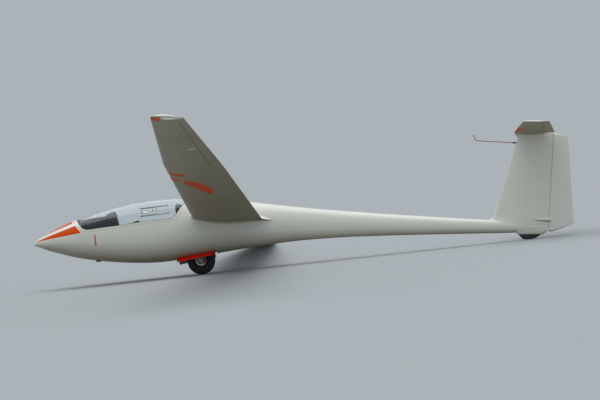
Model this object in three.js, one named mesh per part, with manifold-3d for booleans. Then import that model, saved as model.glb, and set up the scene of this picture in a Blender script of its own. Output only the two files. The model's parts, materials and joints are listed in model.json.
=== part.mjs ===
// Single-seat 15 m sailplane with a T-tail, parked on its main wheel, tail skid and right wing tip.
// Level frame: millimetres, X aft from the nose tip, Y to the right wing, Z up from the fuselage datum.
// The last section leans the whole aircraft into its parked attitude.
import * as THREE from 'three';
import { mergeVertices } from 'three/addons/utils/BufferGeometryUtils.js';
import Module from 'manifold-3d';

const wasm = await Module();
wasm.setup();

// Driving dimensions
const HALF_SPAN = 7500;
const GAP = 0.3;              // play between fixed pieces that touch
const MOVE_GAP = 5.5;         // room round every moving piece
const RING = 32;              // points round a fuselage section
const ROUND = 20;             // sides of a round rod
const FAR = 900;              // past every side of the fuselage
const DEG = Math.PI / 180;

const SHELL = 14;             // thickness of the cockpit wall
const COCKPIT_START = 120;    // front of the hollow inside the nose
const COCKPIT_END = 1800;     // joint between cockpit shell and centre fuselage
const BOOM_START = 3140;      // joint between centre fuselage and tail boom
const BOOM_END = 6512;        // rear end, inside the sweep of the rudder nose

const WING = { rootY: 330, leadZ: 91, rise: 0.0515, incidence: 1.95 * DEG };
const AILERON = { innerY: 4360, outerY: 7185, innerChord: 0.812, outerChord: 0.795 };
const AIRBRAKE = { innerY: 1750, outerY: 2950, chord: 0.53, blade: 8, cap: 30, depth: 88 };
const TAIL = { z: 1184, halfSpan: 1180, hingeX: 6455, cutOut: 60, tubeRadius: 9 };
const RUDDER = { bottom: [6524, 0, -75], top: [6590, 0, 1180], bottomRadius: 27, topRadius: 18, room: 7 };
const WHEEL = { x: 2129, z: -430, radius: 177, halfWidth: 64, rimRadius: 66, axleRadius: 12.5 };
const WELL = { x0: 1823, x1: 2330, halfWidth: 108, top: -125 };
const DOOR = { x0: 1828, x1: 2295, open: 148 * DEG, thickness: 8, root: 105, hingeDepth: 4 };
const FIN = { front: 5600, back: 6700, foot: 0, top: 1178 };
const CANOPY = { x0: 460, x1: 2060, frame: 24, glass: 8 };

// Fuselage stations: x, top, bottom, half width, height of the widest line, roundness
const STATIONS = [
  [0, -205, -236, 15, -221, 2.0],
  [30, -178, -250, 48, -215, 2.0],
  [85, -138, -268, 95, -206, 2.0],
  [148, -106, -294, 136, -200, 2.05],
  [240, -56, -320, 178, -185, 2.1],
  [338, -4, -344, 213, -172, 2.1],
  [541, 89, -392, 263, -146, 2.15],
  [750, 169, -424, 294, -128, 2.2],
  [1000, 248, -447, 312, -116, 2.2],
  [1300, 319, -460, 320, -104, 2.2],
  [1600, 360, -452, 317, -88, 2.2],
  [1857, 375, -420, 305, -58, 2.15],
  [2100, 371, -379, 284, -22, 2.1],
  [2313, 358, -343, 258, 4, 2.05],
  [2500, 340, -309, 229, 14, 2.0],
  [2731, 315, -272, 198, 20, 2.0],
  [3000, 285, -229, 168, 27, 2.0],
  [3376, 244, -181, 139, 31, 2.0],
  [3883, 199, -142, 116, 28, 2.0],
  [4389, 161, -122, 101, 19, 2.0],
  [4959, 124, -108, 88, 8, 2.0],
  [5592, 87, -96, 73, -5, 2.0],
  [6000, 66, -88, 58, -11, 2.0],
  [6300, 52, -76, 42, -12, 2.0],
  [6560, 42, -62, 26, -10, 2.0],
];

// Airfoil: chord fraction, half thickness as a fraction of the full thickness
const AIRFOIL = [
  [0, 0], [0.0125, 0.122], [0.05, 0.231], [0.1, 0.316], [0.2, 0.422], [0.3, 0.48], [0.4, 0.4995],
  [0.5, 0.473], [0.6, 0.404], [0.7, 0.308], [0.8, 0.2], [0.9, 0.092], [1, 0.01],
];

// Wing stations: y, leading edge x, chord, thickness ratio
const WING_STATIONS = [
  [0, 2023, 899, 0.168],
  [330, 2025, 883, 0.165],
  [4350, 2057, 695, 0.155],
  [7420, 2212, 366, 0.135],
  [7468, 2218, 355, 0.125],
  [7492, 2230, 330, 0.09],
  [HALF_SPAN, 2244, 300, 0.04],
];

// Tailplane stations: y, leading edge x, chord, thickness ratio
const TAIL_STATIONS = [
  [0, 6080, 519, 0.112],
  [1130, 6189, 333, 0.105],
  [1166, 6196, 322, 0.09],
  [TAIL.halfSpan, 6210, 300, 0.04],
];

// Fin and rudder stations: z, fin leading edge x, rudder trailing edge x, full thickness
const FIN_STATIONS = [
  [-90, 5700, 6840, 92],
  [30, 5735, 6833, 92],
  [80, 5785, 6827, 92],
  [130, 5814, 6824, 90],
  [1120, 6126, 6764, 64],
  [1200, 6151, 6759, 62],
];

// Canopy seen from the side, front to rear: x, height of the joint line, then x, height of the glass edge
const CANOPY_LINE = [
  [500, 100, 538, 110],
  [512, 62, 553, 70],
  [579, -30, 617, -22],
  [640, -84, 667, -56],
  [718, -92, 725, -63],
  [844, -74, 844, -46],
  [1098, -41, 1098, -13],
  [1351, -3, 1351, 25],
  [1604, 25, 1604, 53],
  [1745, 40, 1731, 68],
  [1812, 62, 1785, 92],
  [1868, 118, 1835, 142],
  [1906, 190, 1872, 205],
  [1952, 265, 1925, 272],
  [2008, 400, 1985, 400],
];

// Solids: three.js geometry in, a solid for joins and cuts, three.js geometry out
function toSolid(geometry) {
  const bare = geometry.clone();
  for (const name of Object.keys(bare.attributes)) {
    if (name !== 'position') bare.deleteAttribute(name);
  }
  const merged = mergeVertices(bare, 1e-3);
  const mesh = new wasm.Mesh({
    numProp: 3,
    vertProperties: new Float32Array(merged.attributes.position.array),
    triVerts: new Uint32Array(merged.index.array),
  });
  const solid = new wasm.Manifold(mesh);
  if (solid.volume() >= 0) return solid;
  const turned = new Uint32Array(merged.index.array);
  for (let i = 0; i < turned.length; i += 3) {
    [turned[i + 1], turned[i + 2]] = [turned[i + 2], turned[i + 1]];
  }
  const outward = { numProp: 3, vertProperties: mesh.vertProperties, triVerts: turned };
  return new wasm.Manifold(new wasm.Mesh(outward));
}

function toGeometry(solid) {
  const mesh = solid.getMesh();
  const geometry = new THREE.BufferGeometry();
  geometry.setAttribute('position', new THREE.BufferAttribute(new Float32Array(mesh.vertProperties), 3));
  geometry.setIndex(new THREE.BufferAttribute(new Uint32Array(mesh.triVerts), 1));
  return geometry;
}

// Flat end of a loft: triangles over a ring, following the ring's own turn or against it
function capFaces(ring, first, against) {
  const column = (k) => ring.map((p) => p[k]);
  const spread = [0, 1, 2].map((k) => Math.max(...column(k)) - Math.min(...column(k)));
  const thin = spread.indexOf(Math.min(...spread));
  const [u, v] = [0, 1, 2].filter((k) => k !== thin);
  const flat = ring.map((p) => new THREE.Vector2(p[u], p[v]));
  const triangles = THREE.ShapeUtils.triangulateShape(flat, []);
  const areas = triangles.map((corners) => THREE.ShapeUtils.area(corners.map((i) => flat[i])));
  const same = areas.reduce((sum, area) => sum + area, 0) * THREE.ShapeUtils.area(flat) > 0;
  return triangles.flatMap(([a, b, c]) => (
    same === against ? [first + a, first + c, first + b] : [first + a, first + b, first + c]
  ));
}

// Closed loft through rings of equal length; a ring is a list of [x, y, z]
function loft(rings) {
  const count = rings[0].length;
  const last = (rings.length - 1) * count;
  const faces = [];
  for (let start = 0; start < last; start += count) {
    for (let j = 0; j < count; j += 1) {
      const a = start + j;
      const b = start + ((j + 1) % count);
      faces.push(a, b, b + count, a, b + count, a + count);
    }
  }
  faces.push(...capFaces(rings[0], 0, true), ...capFaces(rings[rings.length - 1], last, false));
  const geometry = new THREE.BufferGeometry();
  geometry.setAttribute('position', new THREE.Float32BufferAttribute(rings.flat(2), 3));
  geometry.setIndex(faces);
  return toSolid(geometry);
}

function block(x0, x1, y0, y1, z0, z1) {
  const geometry = new THREE.BoxGeometry(x1 - x0, y1 - y0, z1 - z0);
  geometry.translate((x0 + x1) / 2, (y0 + y1) / 2, (z0 + z1) / 2);
  return toSolid(geometry);
}

// Cosine and sine of even steps round a circle
function circle(steps) {
  return Array.from({ length: steps }, (_, i) => {
    const angle = (2 * Math.PI * i) / steps;
    return [Math.cos(angle), Math.sin(angle)];
  });
}

// Side outline of [x, z] points, as wide as y0 to y1
function sidePlate(outline, y0, y1) {
  return loft([y0, y1].map((y) => outline.map(([x, z]) => [x, y, z])));
}

// Plan outline of [x, y] points, as high as z0 to z1
function planPlate(outline, z0, z1) {
  return loft([z0, z1].map((z) => outline.map(([x, y]) => [x, y, z])));
}

// Round tapered rod between two points
function rod(from, to, fromRadius, toRadius = fromRadius, sides = ROUND) {
  const a = new THREE.Vector3(...from);
  const b = new THREE.Vector3(...to);
  const geometry = new THREE.CylinderGeometry(toRadius, fromRadius, a.distanceTo(b), sides);
  const turn = new THREE.Quaternion().setFromUnitVectors(
    new THREE.Vector3(0, 1, 0),
    b.clone().sub(a).normalize(),
  );
  geometry.applyQuaternion(turn);
  geometry.translate(...a.add(b).multiplyScalar(0.5).toArray());
  return toSolid(geometry);
}

// Turned piece about a line along Y through x, z; the profile holds [radius, y]
function turned(profile, x, z, sides) {
  const geometry = new THREE.LatheGeometry(profile.map(([r, y]) => new THREE.Vector2(r, y)), sides);
  geometry.translate(x, 0, z);
  return toSolid(geometry);
}

function mirrored(solid) {
  const geometry = toGeometry(solid);
  geometry.scale(1, -1, 1);
  return toSolid(geometry);
}

function moved(solid, matrix) {
  const geometry = toGeometry(solid);
  geometry.applyMatrix4(matrix);
  return toSolid(geometry);
}

// Turn about a line through a point
function turnAbout(point, axis, angle) {
  const place = new THREE.Vector3(...point);
  return new THREE.Matrix4()
    .makeTranslation(place)
    .multiply(new THREE.Matrix4().makeRotationAxis(new THREE.Vector3(...axis).normalize(), angle))
    .multiply(new THREE.Matrix4().makeTranslation(place.clone().negate()));
}

// Smooth value of one column of a table at a place in its first column
function along(table, column, at) {
  const last = table.length - 1;
  let i = table.findIndex((row) => row[0] > at) - 1;
  if (i < 0) i = at < table[0][0] ? 0 : last - 1;
  const slope = (k) => {
    const low = table[Math.max(k - 1, 0)];
    const high = table[Math.min(k + 1, last)];
    return (high[column] - low[column]) / (high[0] - low[0]);
  };
  const [a, b] = [table[i], table[i + 1]];
  const width = b[0] - a[0];
  const t = (at - a[0]) / width;
  const h = [2 * t ** 3 - 3 * t ** 2 + 1, t ** 3 - 2 * t ** 2 + t, -2 * t ** 3 + 3 * t ** 2, t ** 3 - t ** 2];
  return h[0] * a[column] + h[1] * width * slope(i) + h[2] * b[column] + h[3] * width * slope(i + 1);
}

function linear(table, column, at) {
  const i = Math.min(Math.max(table.findIndex((row) => row[0] >= at), 1), table.length - 1);
  const [a, b] = [table[i - 1], table[i]];
  return a[column] + ((b[column] - a[column]) * (at - a[0])) / (b[0] - a[0]);
}

// Fuselage
function bodySection(x, inset = 0) {
  const [top, bottom, halfWidth, waist, round] = [1, 2, 3, 4, 5].map((column) => along(STATIONS, column, x));
  const ring = [];
  for (let i = 0; i < RING; i += 1) {
    const angle = (2 * Math.PI * (i + 0.5)) / RING;
    const [c, s] = [Math.cos(angle), Math.sin(angle)];
    const reach = s > 0 ? top - inset - waist : waist - bottom - inset;
    ring.push([
      x,
      (halfWidth - inset) * Math.sign(c) * Math.abs(c) ** (2 / round),
      waist + reach * Math.sign(s) * Math.abs(s) ** (2 / round),
    ]);
  }
  return ring;
}

function bodyStations(from, to) {
  const places = STATIONS.map(([x]) => x);
  const between = places.slice(1).map((x, i) => (places[i] + x) / 2);
  const inside = [...places, ...between].sort((a, b) => a - b).filter((x) => x > from + 12 && x < to - 12);
  return [from, ...inside, to];
}

function bodyLoft(from, to, inset = 0) {
  return loft(bodyStations(from, to).map((x) => bodySection(x, inset)));
}

// Lowest point of the skin at a side distance
function bellyHeight(x, y) {
  const [bottom, halfWidth, waist, round] = [2, 3, 4, 5].map((column) => along(STATIONS, column, x));
  return waist - (waist - bottom) * (1 - (Math.abs(y) / halfWidth) ** round) ** (1 / round);
}

// Wing surfaces: side is 1 on the upper skin, -1 on the lower skin and 0 midway
const CAMBER = 0.026;

function wingPoint(y, chordPart, side, grow = 0) {
  const [leadX, chord, ratio] = [1, 2, 3].map((column) => linear(WING_STATIONS, column, Math.abs(y)));
  const half = linear(AIRFOIL, 1, chordPart) * ratio * chord + grow;
  const height = 4 * CAMBER * chord * chordPart * (1 - chordPart) + side * half;
  const back = chordPart * chord;
  const [c, s] = [Math.cos(WING.incidence), Math.sin(WING.incidence)];
  return [
    leadX + back * c + height * s,
    y,
    WING.leadZ + Math.abs(y) * WING.rise - back * s + height * c,
  ];
}

function airfoilRing(point) {
  const upper = AIRFOIL.map(([part]) => point(part, 1)).reverse();
  const lower = AIRFOIL.slice(1).map(([part]) => point(part, -1));
  return [...upper, ...lower];
}

function tailPoint(y, part, side, grow = 0) {
  const [leadX, chord, ratio] = [1, 2, 3].map((column) => linear(TAIL_STATIONS, column, Math.abs(y)));
  return [leadX + part * chord, y, TAIL.z + side * (linear(AIRFOIL, 1, part) * ratio * chord + grow)];
}

function finPoint(z, part, side) {
  const [leadX, trailX, full] = [1, 2, 3].map((column) => linear(FIN_STATIONS, column, z));
  return [leadX + part * (trailX - leadX), side * linear(AIRFOIL, 1, part) * full, z];
}

// Canopy: the cut seen from the side, drawn in by a distance
function canopyCut(column, inset) {
  const line = CANOPY_LINE.map((row) => [row[column], row[column + 1]]);
  const drawn = line.map(([x, z], i) => {
    const [ax, az] = line[Math.max(i - 1, 0)];
    const [bx, bz] = line[Math.min(i + 1, line.length - 1)];
    const length = Math.hypot(bx - ax, bz - az);
    return [x - (inset * (bz - az)) / length, z + (inset * (bx - ax)) / length];
  });
  return sidePlate([...drawn, [CANOPY.x1, FAR], [CANOPY.x0, FAR]], -FAR, FAR);
}

const skinFront = bodyLoft(0, COCKPIT_END);
const skinCentre = bodyLoft(COCKPIT_END + GAP, BOOM_START);
const cockpitRoom = bodyLoft(COCKPIT_START, COCKPIT_END - SHELL, SHELL);
const trimRoom = bodyLoft(COCKPIT_START + 20, COCKPIT_END - SHELL - GAP, SHELL + GAP);

// Tow hook: a steel block let into the belly
const HOOK = { x0: 792, x1: 852, halfWidth: 15, bottom: -446, top: -412 };
const towHook = block(HOOK.x0, HOOK.x1, -HOOK.halfWidth, HOOK.halfWidth, HOOK.bottom, HOOK.top);
const hookPocket = block(
  HOOK.x0 - GAP, HOOK.x1 + GAP, -HOOK.halfWidth - GAP, HOOK.halfWidth + GAP, -FAR, HOOK.top + GAP,
);

const cockpitShell = skinFront.subtract(cockpitRoom).subtract(canopyCut(0, 0)).subtract(hookPocket);

// Wing stub: the airfoil faired into the fuselage side, swollen and drawn out towards the fuselage
const STUB = { thicker: 26, ahead: 27, behind: 117 };
const STUB_RINGS = [[WING.rootY - GAP, 0], [WING.rootY - 26, 0.22], [WING.rootY - 62, 0.75], [200, 1.5]];
function stubRing(y, swell) {
  return airfoilRing((part, side) => {
    const grow = STUB.thicker * swell * Math.sin(Math.PI * Math.min(part * 1.1, 1));
    const [x, , z] = wingPoint(WING.rootY, part, side, grow);
    const shift = swell * (part * (STUB.ahead + STUB.behind) - STUB.ahead);
    return [x + shift, y, z - (WING.rootY - Math.abs(y)) * WING.rise];
  });
}
const stub = loft([
  ...STUB_RINGS.map(([y, swell]) => stubRing(-y, swell)),
  ...[...STUB_RINGS].reverse().map(([y, swell]) => stubRing(y, swell)),
]);

// Head recess behind the seat back, and the wheel well
const RECESS = { front: 1760, floor: 74, back: 1948, topX: 1990, topZ: 330 };
const headRecess = bodyLoft(COCKPIT_END - 30, 2060, SHELL).intersect(sidePlate([
  [RECESS.front, RECESS.floor], [RECESS.back, RECESS.floor], [RECESS.topX, RECESS.topZ], [RECESS.topX, FAR],
  [RECESS.front, FAR],
], -FAR, FAR));
const well = block(WELL.x0, WELL.x1, -WELL.halfWidth, WELL.halfWidth, -FAR, WELL.top);

const centreFuselage = skinCentre.add(stub).subtract(canopyCut(0, 0)).subtract(headRecess).subtract(well);

// Canopy frame, glass and sliding window; they lift together with the instrument cover
const canopyShell = (thickness) => bodyLoft(CANOPY.x0 - 160, CANOPY.x1 + 40)
  .subtract(bodyLoft(CANOPY.x0 - 180, CANOPY.x1 + 60, thickness));
const frameSkin = canopyShell(CANOPY.frame);
const canopyFrame = frameSkin.intersect(canopyCut(0, MOVE_GAP)).subtract(canopyCut(2, 0));
const WINDOW = [[1388, 128], [1578, 152], [1574, 236], [1392, 212]];
const windowMiddle = [0, 1].map((k) => WINDOW.reduce((sum, corner) => sum + corner[k], 0) / WINDOW.length);
const drawnIn = (value, k) => value + 1.4 * GAP * Math.sign(windowMiddle[k] - value);
const windowPane = WINDOW.map((corner) => corner.map(drawnIn));
const glassWhole = canopyShell(CANOPY.glass).intersect(canopyCut(2, GAP));
const canopyGlass = glassWhole.subtract(sidePlate(WINDOW, -FAR, 0));
const slidingWindow = glassWhole.intersect(sidePlate(windowPane, -FAR, 0));

// Instrument cover: x, half width, bottom, top, and the hump over the panel
const COVER = [
  [562, 96, 16, 82],
  [612, 138, -30, 87],
  [700, 216, -66, 98],
  [800, 246, -62, 111],
  [920, 262, -48, 128],
  [1080, 268, -30, 142],
];
const HUMP = [
  [915, 84, 60, 128],
  [930, 92, 60, 156],
  [1022, 116, 60, 189],
  [1080, 116, 60, 190],
];
function humpLoft(table) {
  return loft(table.map(([x, half, bottom, top]) => (
    circle(24).slice(0, 13).map(([c, s]) => [x, half * c, bottom + (top - bottom) * Math.abs(s) ** 0.6])
  )));
}

// Panel face: leans back from a line above the hump to one under the cover
const PANEL = { topX: 1026, topZ: 220, bottomX: 1068, bottomZ: -46, thickness: 12, ahead: 500 };
const coverRoom = bodyLoft(400, 1200, CANOPY.frame + GAP);
const podSolid = humpLoft(COVER).add(humpLoft(HUMP)).intersect(coverRoom);
const aheadOf = (shift) => sidePlate([
  [PANEL.topX + shift, PANEL.topZ], [PANEL.bottomX + shift, PANEL.bottomZ], [PANEL.ahead, PANEL.bottomZ],
  [PANEL.ahead, PANEL.topZ],
], -FAR, FAR);
const instrumentCover = podSolid.intersect(aheadOf(-PANEL.thickness - GAP));
const instrumentPanel = podSolid.intersect(aheadOf(0)).subtract(aheadOf(-PANEL.thickness));

// Seat: side line of the pan from the floor board to the shoulders, and the cushion on it
const SEAT_LINE = [
  [660, -352], [930, -338], [1010, -292], [1090, -300], [1190, -376], [1290, -392], [1370, -352],
  [1560, -158], [1680, -24], [1712, 14],
];
function thickLine(line, low, high) {
  const shift = (distance) => line.map(([x, z], i) => {
    const [ax, az] = line[Math.max(i - 1, 0)];
    const [bx, bz] = line[Math.min(i + 1, line.length - 1)];
    const length = Math.hypot(bx - ax, bz - az);
    return [x - (distance * (bz - az)) / length, z + (distance * (bx - ax)) / length];
  });
  return [...shift(low), ...shift(high).reverse()];
}
const SEAT = { thickness: 9, cushionTop: 44, cushionHalf: 185, cushionInset: 48 };
const seatPan = sidePlate(thickLine(SEAT_LINE, 0, SEAT.thickness), -FAR, FAR).intersect(trimRoom);
const cushionLine = SEAT_LINE.slice(2, 9);
const cushionPlate = thickLine(cushionLine, SEAT.thickness + GAP, SEAT.cushionTop);
const seatCushion = sidePlate(cushionPlate, -SEAT.cushionHalf, SEAT.cushionHalf)
  .intersect(bodyLoft(140, 1780, SEAT.cushionInset));

// Headrest: pad on a stem that stands on the recess floor
const HEADREST = { x0: 1800, x1: 1892, halfWidth: 88, bottom: 128, top: 276, floor: 74 };
const pad = loft([0, 0.12, 0.3, 0.7, 0.88, 1].map((t, i) => {
  const draw = [16, 5, 0, 0, 5, 16][i];
  const y = HEADREST.halfWidth * (2 * t - 1);
  return [
    [HEADREST.x0 + draw, y, HEADREST.bottom + 14 + draw],
    [HEADREST.x0 + 10 + draw, y, HEADREST.bottom + draw],
    [HEADREST.x1 - 14, y, HEADREST.bottom + 24 + draw], [HEADREST.x1, y, HEADREST.bottom + 50],
    [HEADREST.x1, y, HEADREST.top - 34], [HEADREST.x1 - 26, y, HEADREST.top - draw],
    [HEADREST.x0 + 26, y, HEADREST.top - draw], [HEADREST.x0 + draw, y, HEADREST.top - 26 - draw],
  ];
}));
const stem = block(1836, 1866, -26, 26, HEADREST.floor + GAP, HEADREST.bottom + 40);
const headrest = pad.add(stem);

// Controls in the cockpit
const STICK = {
  foot: [886, 0, -334], bend: [912, 0, -150], grip: [898, 0, -60],
  boot: 34, bootRadius: 38, radius: 9.5, gripRadius: 16,
};
const raised = ([x, y, z], rise) => [x, y, z + rise];
const controlStick = rod(STICK.foot, raised(STICK.foot, STICK.boot), STICK.bootRadius, 2 * STICK.radius)
  .add(rod(raised(STICK.foot, 20), STICK.bend, STICK.radius))
  .add(rod(raised(STICK.bend, -8), STICK.grip, STICK.gripRadius, STICK.gripRadius + 2))
  .subtract(moved(seatPan, new THREE.Matrix4().makeTranslation(0, 0, GAP)));

// Levers on rails along the cockpit sides: x, side, height, side distance of the handle, its radius
const LEVERS = [
  ['airbrake_lever', 1130, -1, -118, 226.5, 15],
  ['trim_lever', 1250, -1, -190, 230, 11],
  ['gear_lever', 1120, 1, -130, 226.5, 15],
];
const RAIL = { halfLength: 90, halfHeight: 16, inner: 262, outer: 330, armRadius: 7, rise: 22, gripHalf: 30 };
function lever(x, side, z, handleY, handleRadius) {
  const [low, high] = [side * RAIL.inner, side * RAIL.outer].sort((a, b) => a - b);
  const handle = [x, handleY * side, z + RAIL.rise];
  const front = [x - RAIL.gripHalf, handle[1], handle[2]];
  const back = [x + RAIL.gripHalf, handle[1], handle[2] + 2];
  return block(x - RAIL.halfLength, x + RAIL.halfLength, low, high, z - RAIL.halfHeight, z + RAIL.halfHeight)
    .add(rod([x, (RAIL.inner + 6) * side, z], handle, RAIL.armRadius, RAIL.armRadius, 12))
    .add(rod(front, back, handleRadius, handleRadius, 14))
    .intersect(trimRoom);
}

// Rudder pedals on a carriage that stands on the floor board
const PEDAL = {
  plate: [[436, -262], [446, -266], [498, -112], [488, -108]],
  inner: 38,
  outer: 108,
  bar: { x: 444, z: -246, halfLength: 104, radius: 9 },
};
const CARRIAGE = { x0: 420, legX: 560, x1: 640, half: 26, low: -290, high: -240 };
const pedalPlate = (side) => {
  const [low, high] = [side * PEDAL.inner, side * PEDAL.outer].sort((a, b) => a - b);
  return sidePlate(PEDAL.plate, low, high);
};
const { bar } = PEDAL;
const rudderPedals = pedalPlate(-1).add(pedalPlate(1))
  .add(rod([bar.x, -bar.halfLength, bar.z], [bar.x, bar.halfLength, bar.z], bar.radius, bar.radius, 12))
  .add(block(CARRIAGE.x0, CARRIAGE.x1, -CARRIAGE.half, CARRIAGE.half, CARRIAGE.low, CARRIAGE.high))
  .add(block(CARRIAGE.legX, CARRIAGE.x1, -CARRIAGE.half, CARRIAGE.half, -FAR, CARRIAGE.high - 10))
  .intersect(trimRoom);

// Tail boom with the skid fairing, cut out round the rudder nose
const SKID = {
  fairing: [[6080, -60], [6112, -94], [6160, -124], [6300, -122], [6428, -110], [6497, -66], [6500, -20],
    [6080, -20]],
  shoe: [[6152, -126], [6168, -148], [6208, -168], [6330, -161], [6400, -136], [6428, -112], [6440, -20],
    [6140, -20]],
  fairingHalf: 29,
  shoeHalf: 24,
  roundEdge: 7,
};
const outside = 1 / Math.cos(Math.PI / ROUND);     // makes a many-sided rod hold a round one
const roomFoot = (RUDDER.bottomRadius + RUDDER.room) * outside;
const roomTop = (RUDDER.topRadius + RUDDER.room) * outside;
const behindRudderAxis = sidePlate(
  [[RUDDER.bottom[0] - 6, -200], [RUDDER.bottom[0], RUDDER.bottom[2]], [RUDDER.top[0], RUDDER.top[2]],
    [RUDDER.top[0] + 10, 1360], [7100, 1360], [7100, -200]], -FAR, FAR,
);
const rudderNoseRoom = rod([RUDDER.bottom[0] - 3, 0, -130], [RUDDER.top[0] + 3, 0, 1240], roomFoot, roomTop);
const rudderRoom = rudderNoseRoom.add(behindRudderAxis);

// Keel under the boom from an outline whose last two points are its top; its lower edges are drawn in
function keel(outline, halfWidth, grow = 0) {
  return loft([-1, -0.8, 0.8, 1].map((t) => outline.map(([x, z], i) => {
    const drawn = Math.abs(t) === 1 ? SKID.roundEdge : 0;
    return [x, t * (halfWidth + grow), i < outline.length - 2 ? z + drawn - grow : z];
  })));
}
const boomGrown = bodyLoft(BOOM_START, BOOM_END + 40, -GAP);
const tailBoom = bodyLoft(BOOM_START + GAP, BOOM_END).add(keel(SKID.fairing, SKID.fairingHalf))
  .subtract(rudderRoom);
const fairingGrown = keel(SKID.fairing, SKID.fairingHalf, GAP);
const tailSkid = keel(SKID.shoe, SKID.shoeHalf).subtract(boomGrown).subtract(fairingGrown);

// Fin and rudder from one airfoil body, parted at the hinge
const finBody = loft(FIN_STATIONS.map(([z]) => airfoilRing((part, side) => finPoint(z, part, side))));
const tailSpans = TAIL_STATIONS.map(([y]) => y);
const tailRows = [...tailSpans.map((y) => -y).reverse(), ...tailSpans.slice(1)];
const tailRing = (y, grow) => airfoilRing((part, side) => tailPoint(y, part, side, grow));
const tailLoft = (grow) => loft(tailRows.map((y) => tailRing(y, grow)));
const tailGrown = tailLoft(GAP);
const tailBody = tailLoft(0);
const tubeRoom = rod(
  [TAIL.hingeX, -TAIL.cutOut - 8, TAIL.z], [TAIL.hingeX, TAIL.cutOut + 8, TAIL.z], TAIL.tubeRadius + MOVE_GAP,
);
const finSide = block(FIN.front, FIN.back, -FAR, FAR, FIN.foot, FIN.top);
const elevatorSweep = block(TAIL.hingeX - 35, FIN.back, -FAR, FAR, TAIL.z - 16, FAR * 2);
const fin = finBody.intersect(finSide).subtract(rudderRoom).subtract(boomGrown).subtract(fairingGrown)
  .subtract(tailGrown).subtract(tubeRoom).subtract(elevatorSweep);

const rudderNose = rod(RUDDER.bottom, RUDDER.top, RUDDER.bottomRadius, RUDDER.topRadius);
const rudderSide = sidePlate([[6400, -62], [6497, -58], [6838, 32], [6900, 40], [6900, 1128], [6757, 1144],
  [6640, 1166], [6556, 1174], [6400, 1174]], -FAR, FAR);
const rudder = finBody.intersect(behindRudderAxis.add(rudderNose)).intersect(rudderSide);

// Rudder drive fairings: a teardrop on each side of the fin, with its round end clear over the rudder's nose
const DRIVE = { z: 76, hingeX: 6532, roomAhead: 16, roomBehind: 40, roomHalf: 35.5, roomSlope: 0.5 };
// x, height of the fairing's half, middle and half of its width
const DRIVE_RINGS = [
  [6308, 4, 18, 18], [6350, 13, 18, 24], [6410, 20, 18, 30], [6470, 25, 18, 35],
  [6515, 26, 24, 31], [6536, 23, 36, 18], [6548, 16, 44, 8], [6553, 7, 47, 3],
];
const driveRoomHalf = (past) => DRIVE.roomHalf + DRIVE.roomSlope * past;
const driveRoom = planPlate([
  [DRIVE.hingeX - DRIVE.roomAhead, -driveRoomHalf(-DRIVE.roomAhead)],
  [DRIVE.hingeX + DRIVE.roomBehind, -driveRoomHalf(DRIVE.roomBehind)],
  [DRIVE.hingeX + DRIVE.roomBehind, driveRoomHalf(DRIVE.roomBehind)],
  [DRIVE.hingeX - DRIVE.roomAhead, driveRoomHalf(-DRIVE.roomAhead)],
], -FAR, FAR);
function driveFairing(side) {
  const rings = DRIVE_RINGS.map(([x, tall, middle, wide]) => (
    circle(16).map(([c, s]) => [x, side * (middle + wide * c), DRIVE.z + tall * s])
  ));
  const [low, high] = [side, side * FAR].sort((a, b) => a - b);
  return loft(rings).intersect(block(6000, 6600, low, high, -FAR, FAR))
    .subtract(moved(finBody, new THREE.Matrix4().makeTranslation(0, side * GAP, 0)))
    .subtract(boomGrown).subtract(rudderNoseRoom).subtract(driveRoom);
}

// Tailplane and elevator
const tailTipY = TAIL_STATIONS[1][0];
const noseRadius = (y) => {
  const [leadX, chord, ratio] = [1, 2, 3].map((column) => linear(TAIL_STATIONS, column, y));
  return linear(AIRFOIL, 1, (TAIL.hingeX - leadX) / chord) * ratio * chord;
};
// Everything behind a round nose on the elevator hinge, on both sides and outboard of a cut-out
function behindHinge(extra, fromY) {
  const [a, b] = [noseRadius(fromY) + extra, noseRadius(tailTipY) + extra];
  return [-1, 1].map((side) => {
    const ends = [side * fromY, side * (TAIL.halfSpan + 40)];
    const nose = rod([TAIL.hingeX, ends[0], TAIL.z], [TAIL.hingeX, ends[1], TAIL.z], a, b);
    const [low, high] = ends.sort((p, q) => p - q);
    return nose.add(block(TAIL.hingeX, FIN.back, low, high, TAIL.z - 200, TAIL.z + 200));
  });
}
const [roomLeft, roomRight] = behindHinge(MOVE_GAP + GAP, TAIL.cutOut - MOVE_GAP);
const tailplane = tailBody.subtract(roomLeft).subtract(roomRight).subtract(tubeRoom)
  .subtract(block(TAIL.hingeX, FIN.back, -TAIL.cutOut, TAIL.cutOut, TAIL.z - 200, TAIL.z + 200));
const [elevatorLeft, elevatorRight] = behindHinge(0, TAIL.cutOut);
const elevatorTube = rod(
  [TAIL.hingeX, -TAIL.cutOut - 12, TAIL.z], [TAIL.hingeX, TAIL.cutOut + 12, TAIL.z], TAIL.tubeRadius,
);
const elevator = tailBody.intersect(elevatorLeft.add(elevatorRight)).add(elevatorTube);

// Total energy probe: a thin tube ahead of the fin with its tip bent up
const PROBE = { root: [6128, 0, 1052], knee: [5592, 0, 1084], tip: [5568, 0, 1158], radius: 5, sides: 10 };
const COLLAR = { front: [6062, 0, 1056], radius: 9 };
const probe = rod(PROBE.root, PROBE.knee, PROBE.radius, PROBE.radius, PROBE.sides)
  .add(rod([PROBE.knee[0] + 4, 0, PROBE.knee[2] - 4], PROBE.tip, PROBE.radius, PROBE.radius, PROBE.sides))
  .add(rod(COLLAR.front, PROBE.root, COLLAR.radius, COLLAR.radius, 12))
  .subtract(moved(finBody, new THREE.Matrix4().makeTranslation(-GAP, 0, 0)));

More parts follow.
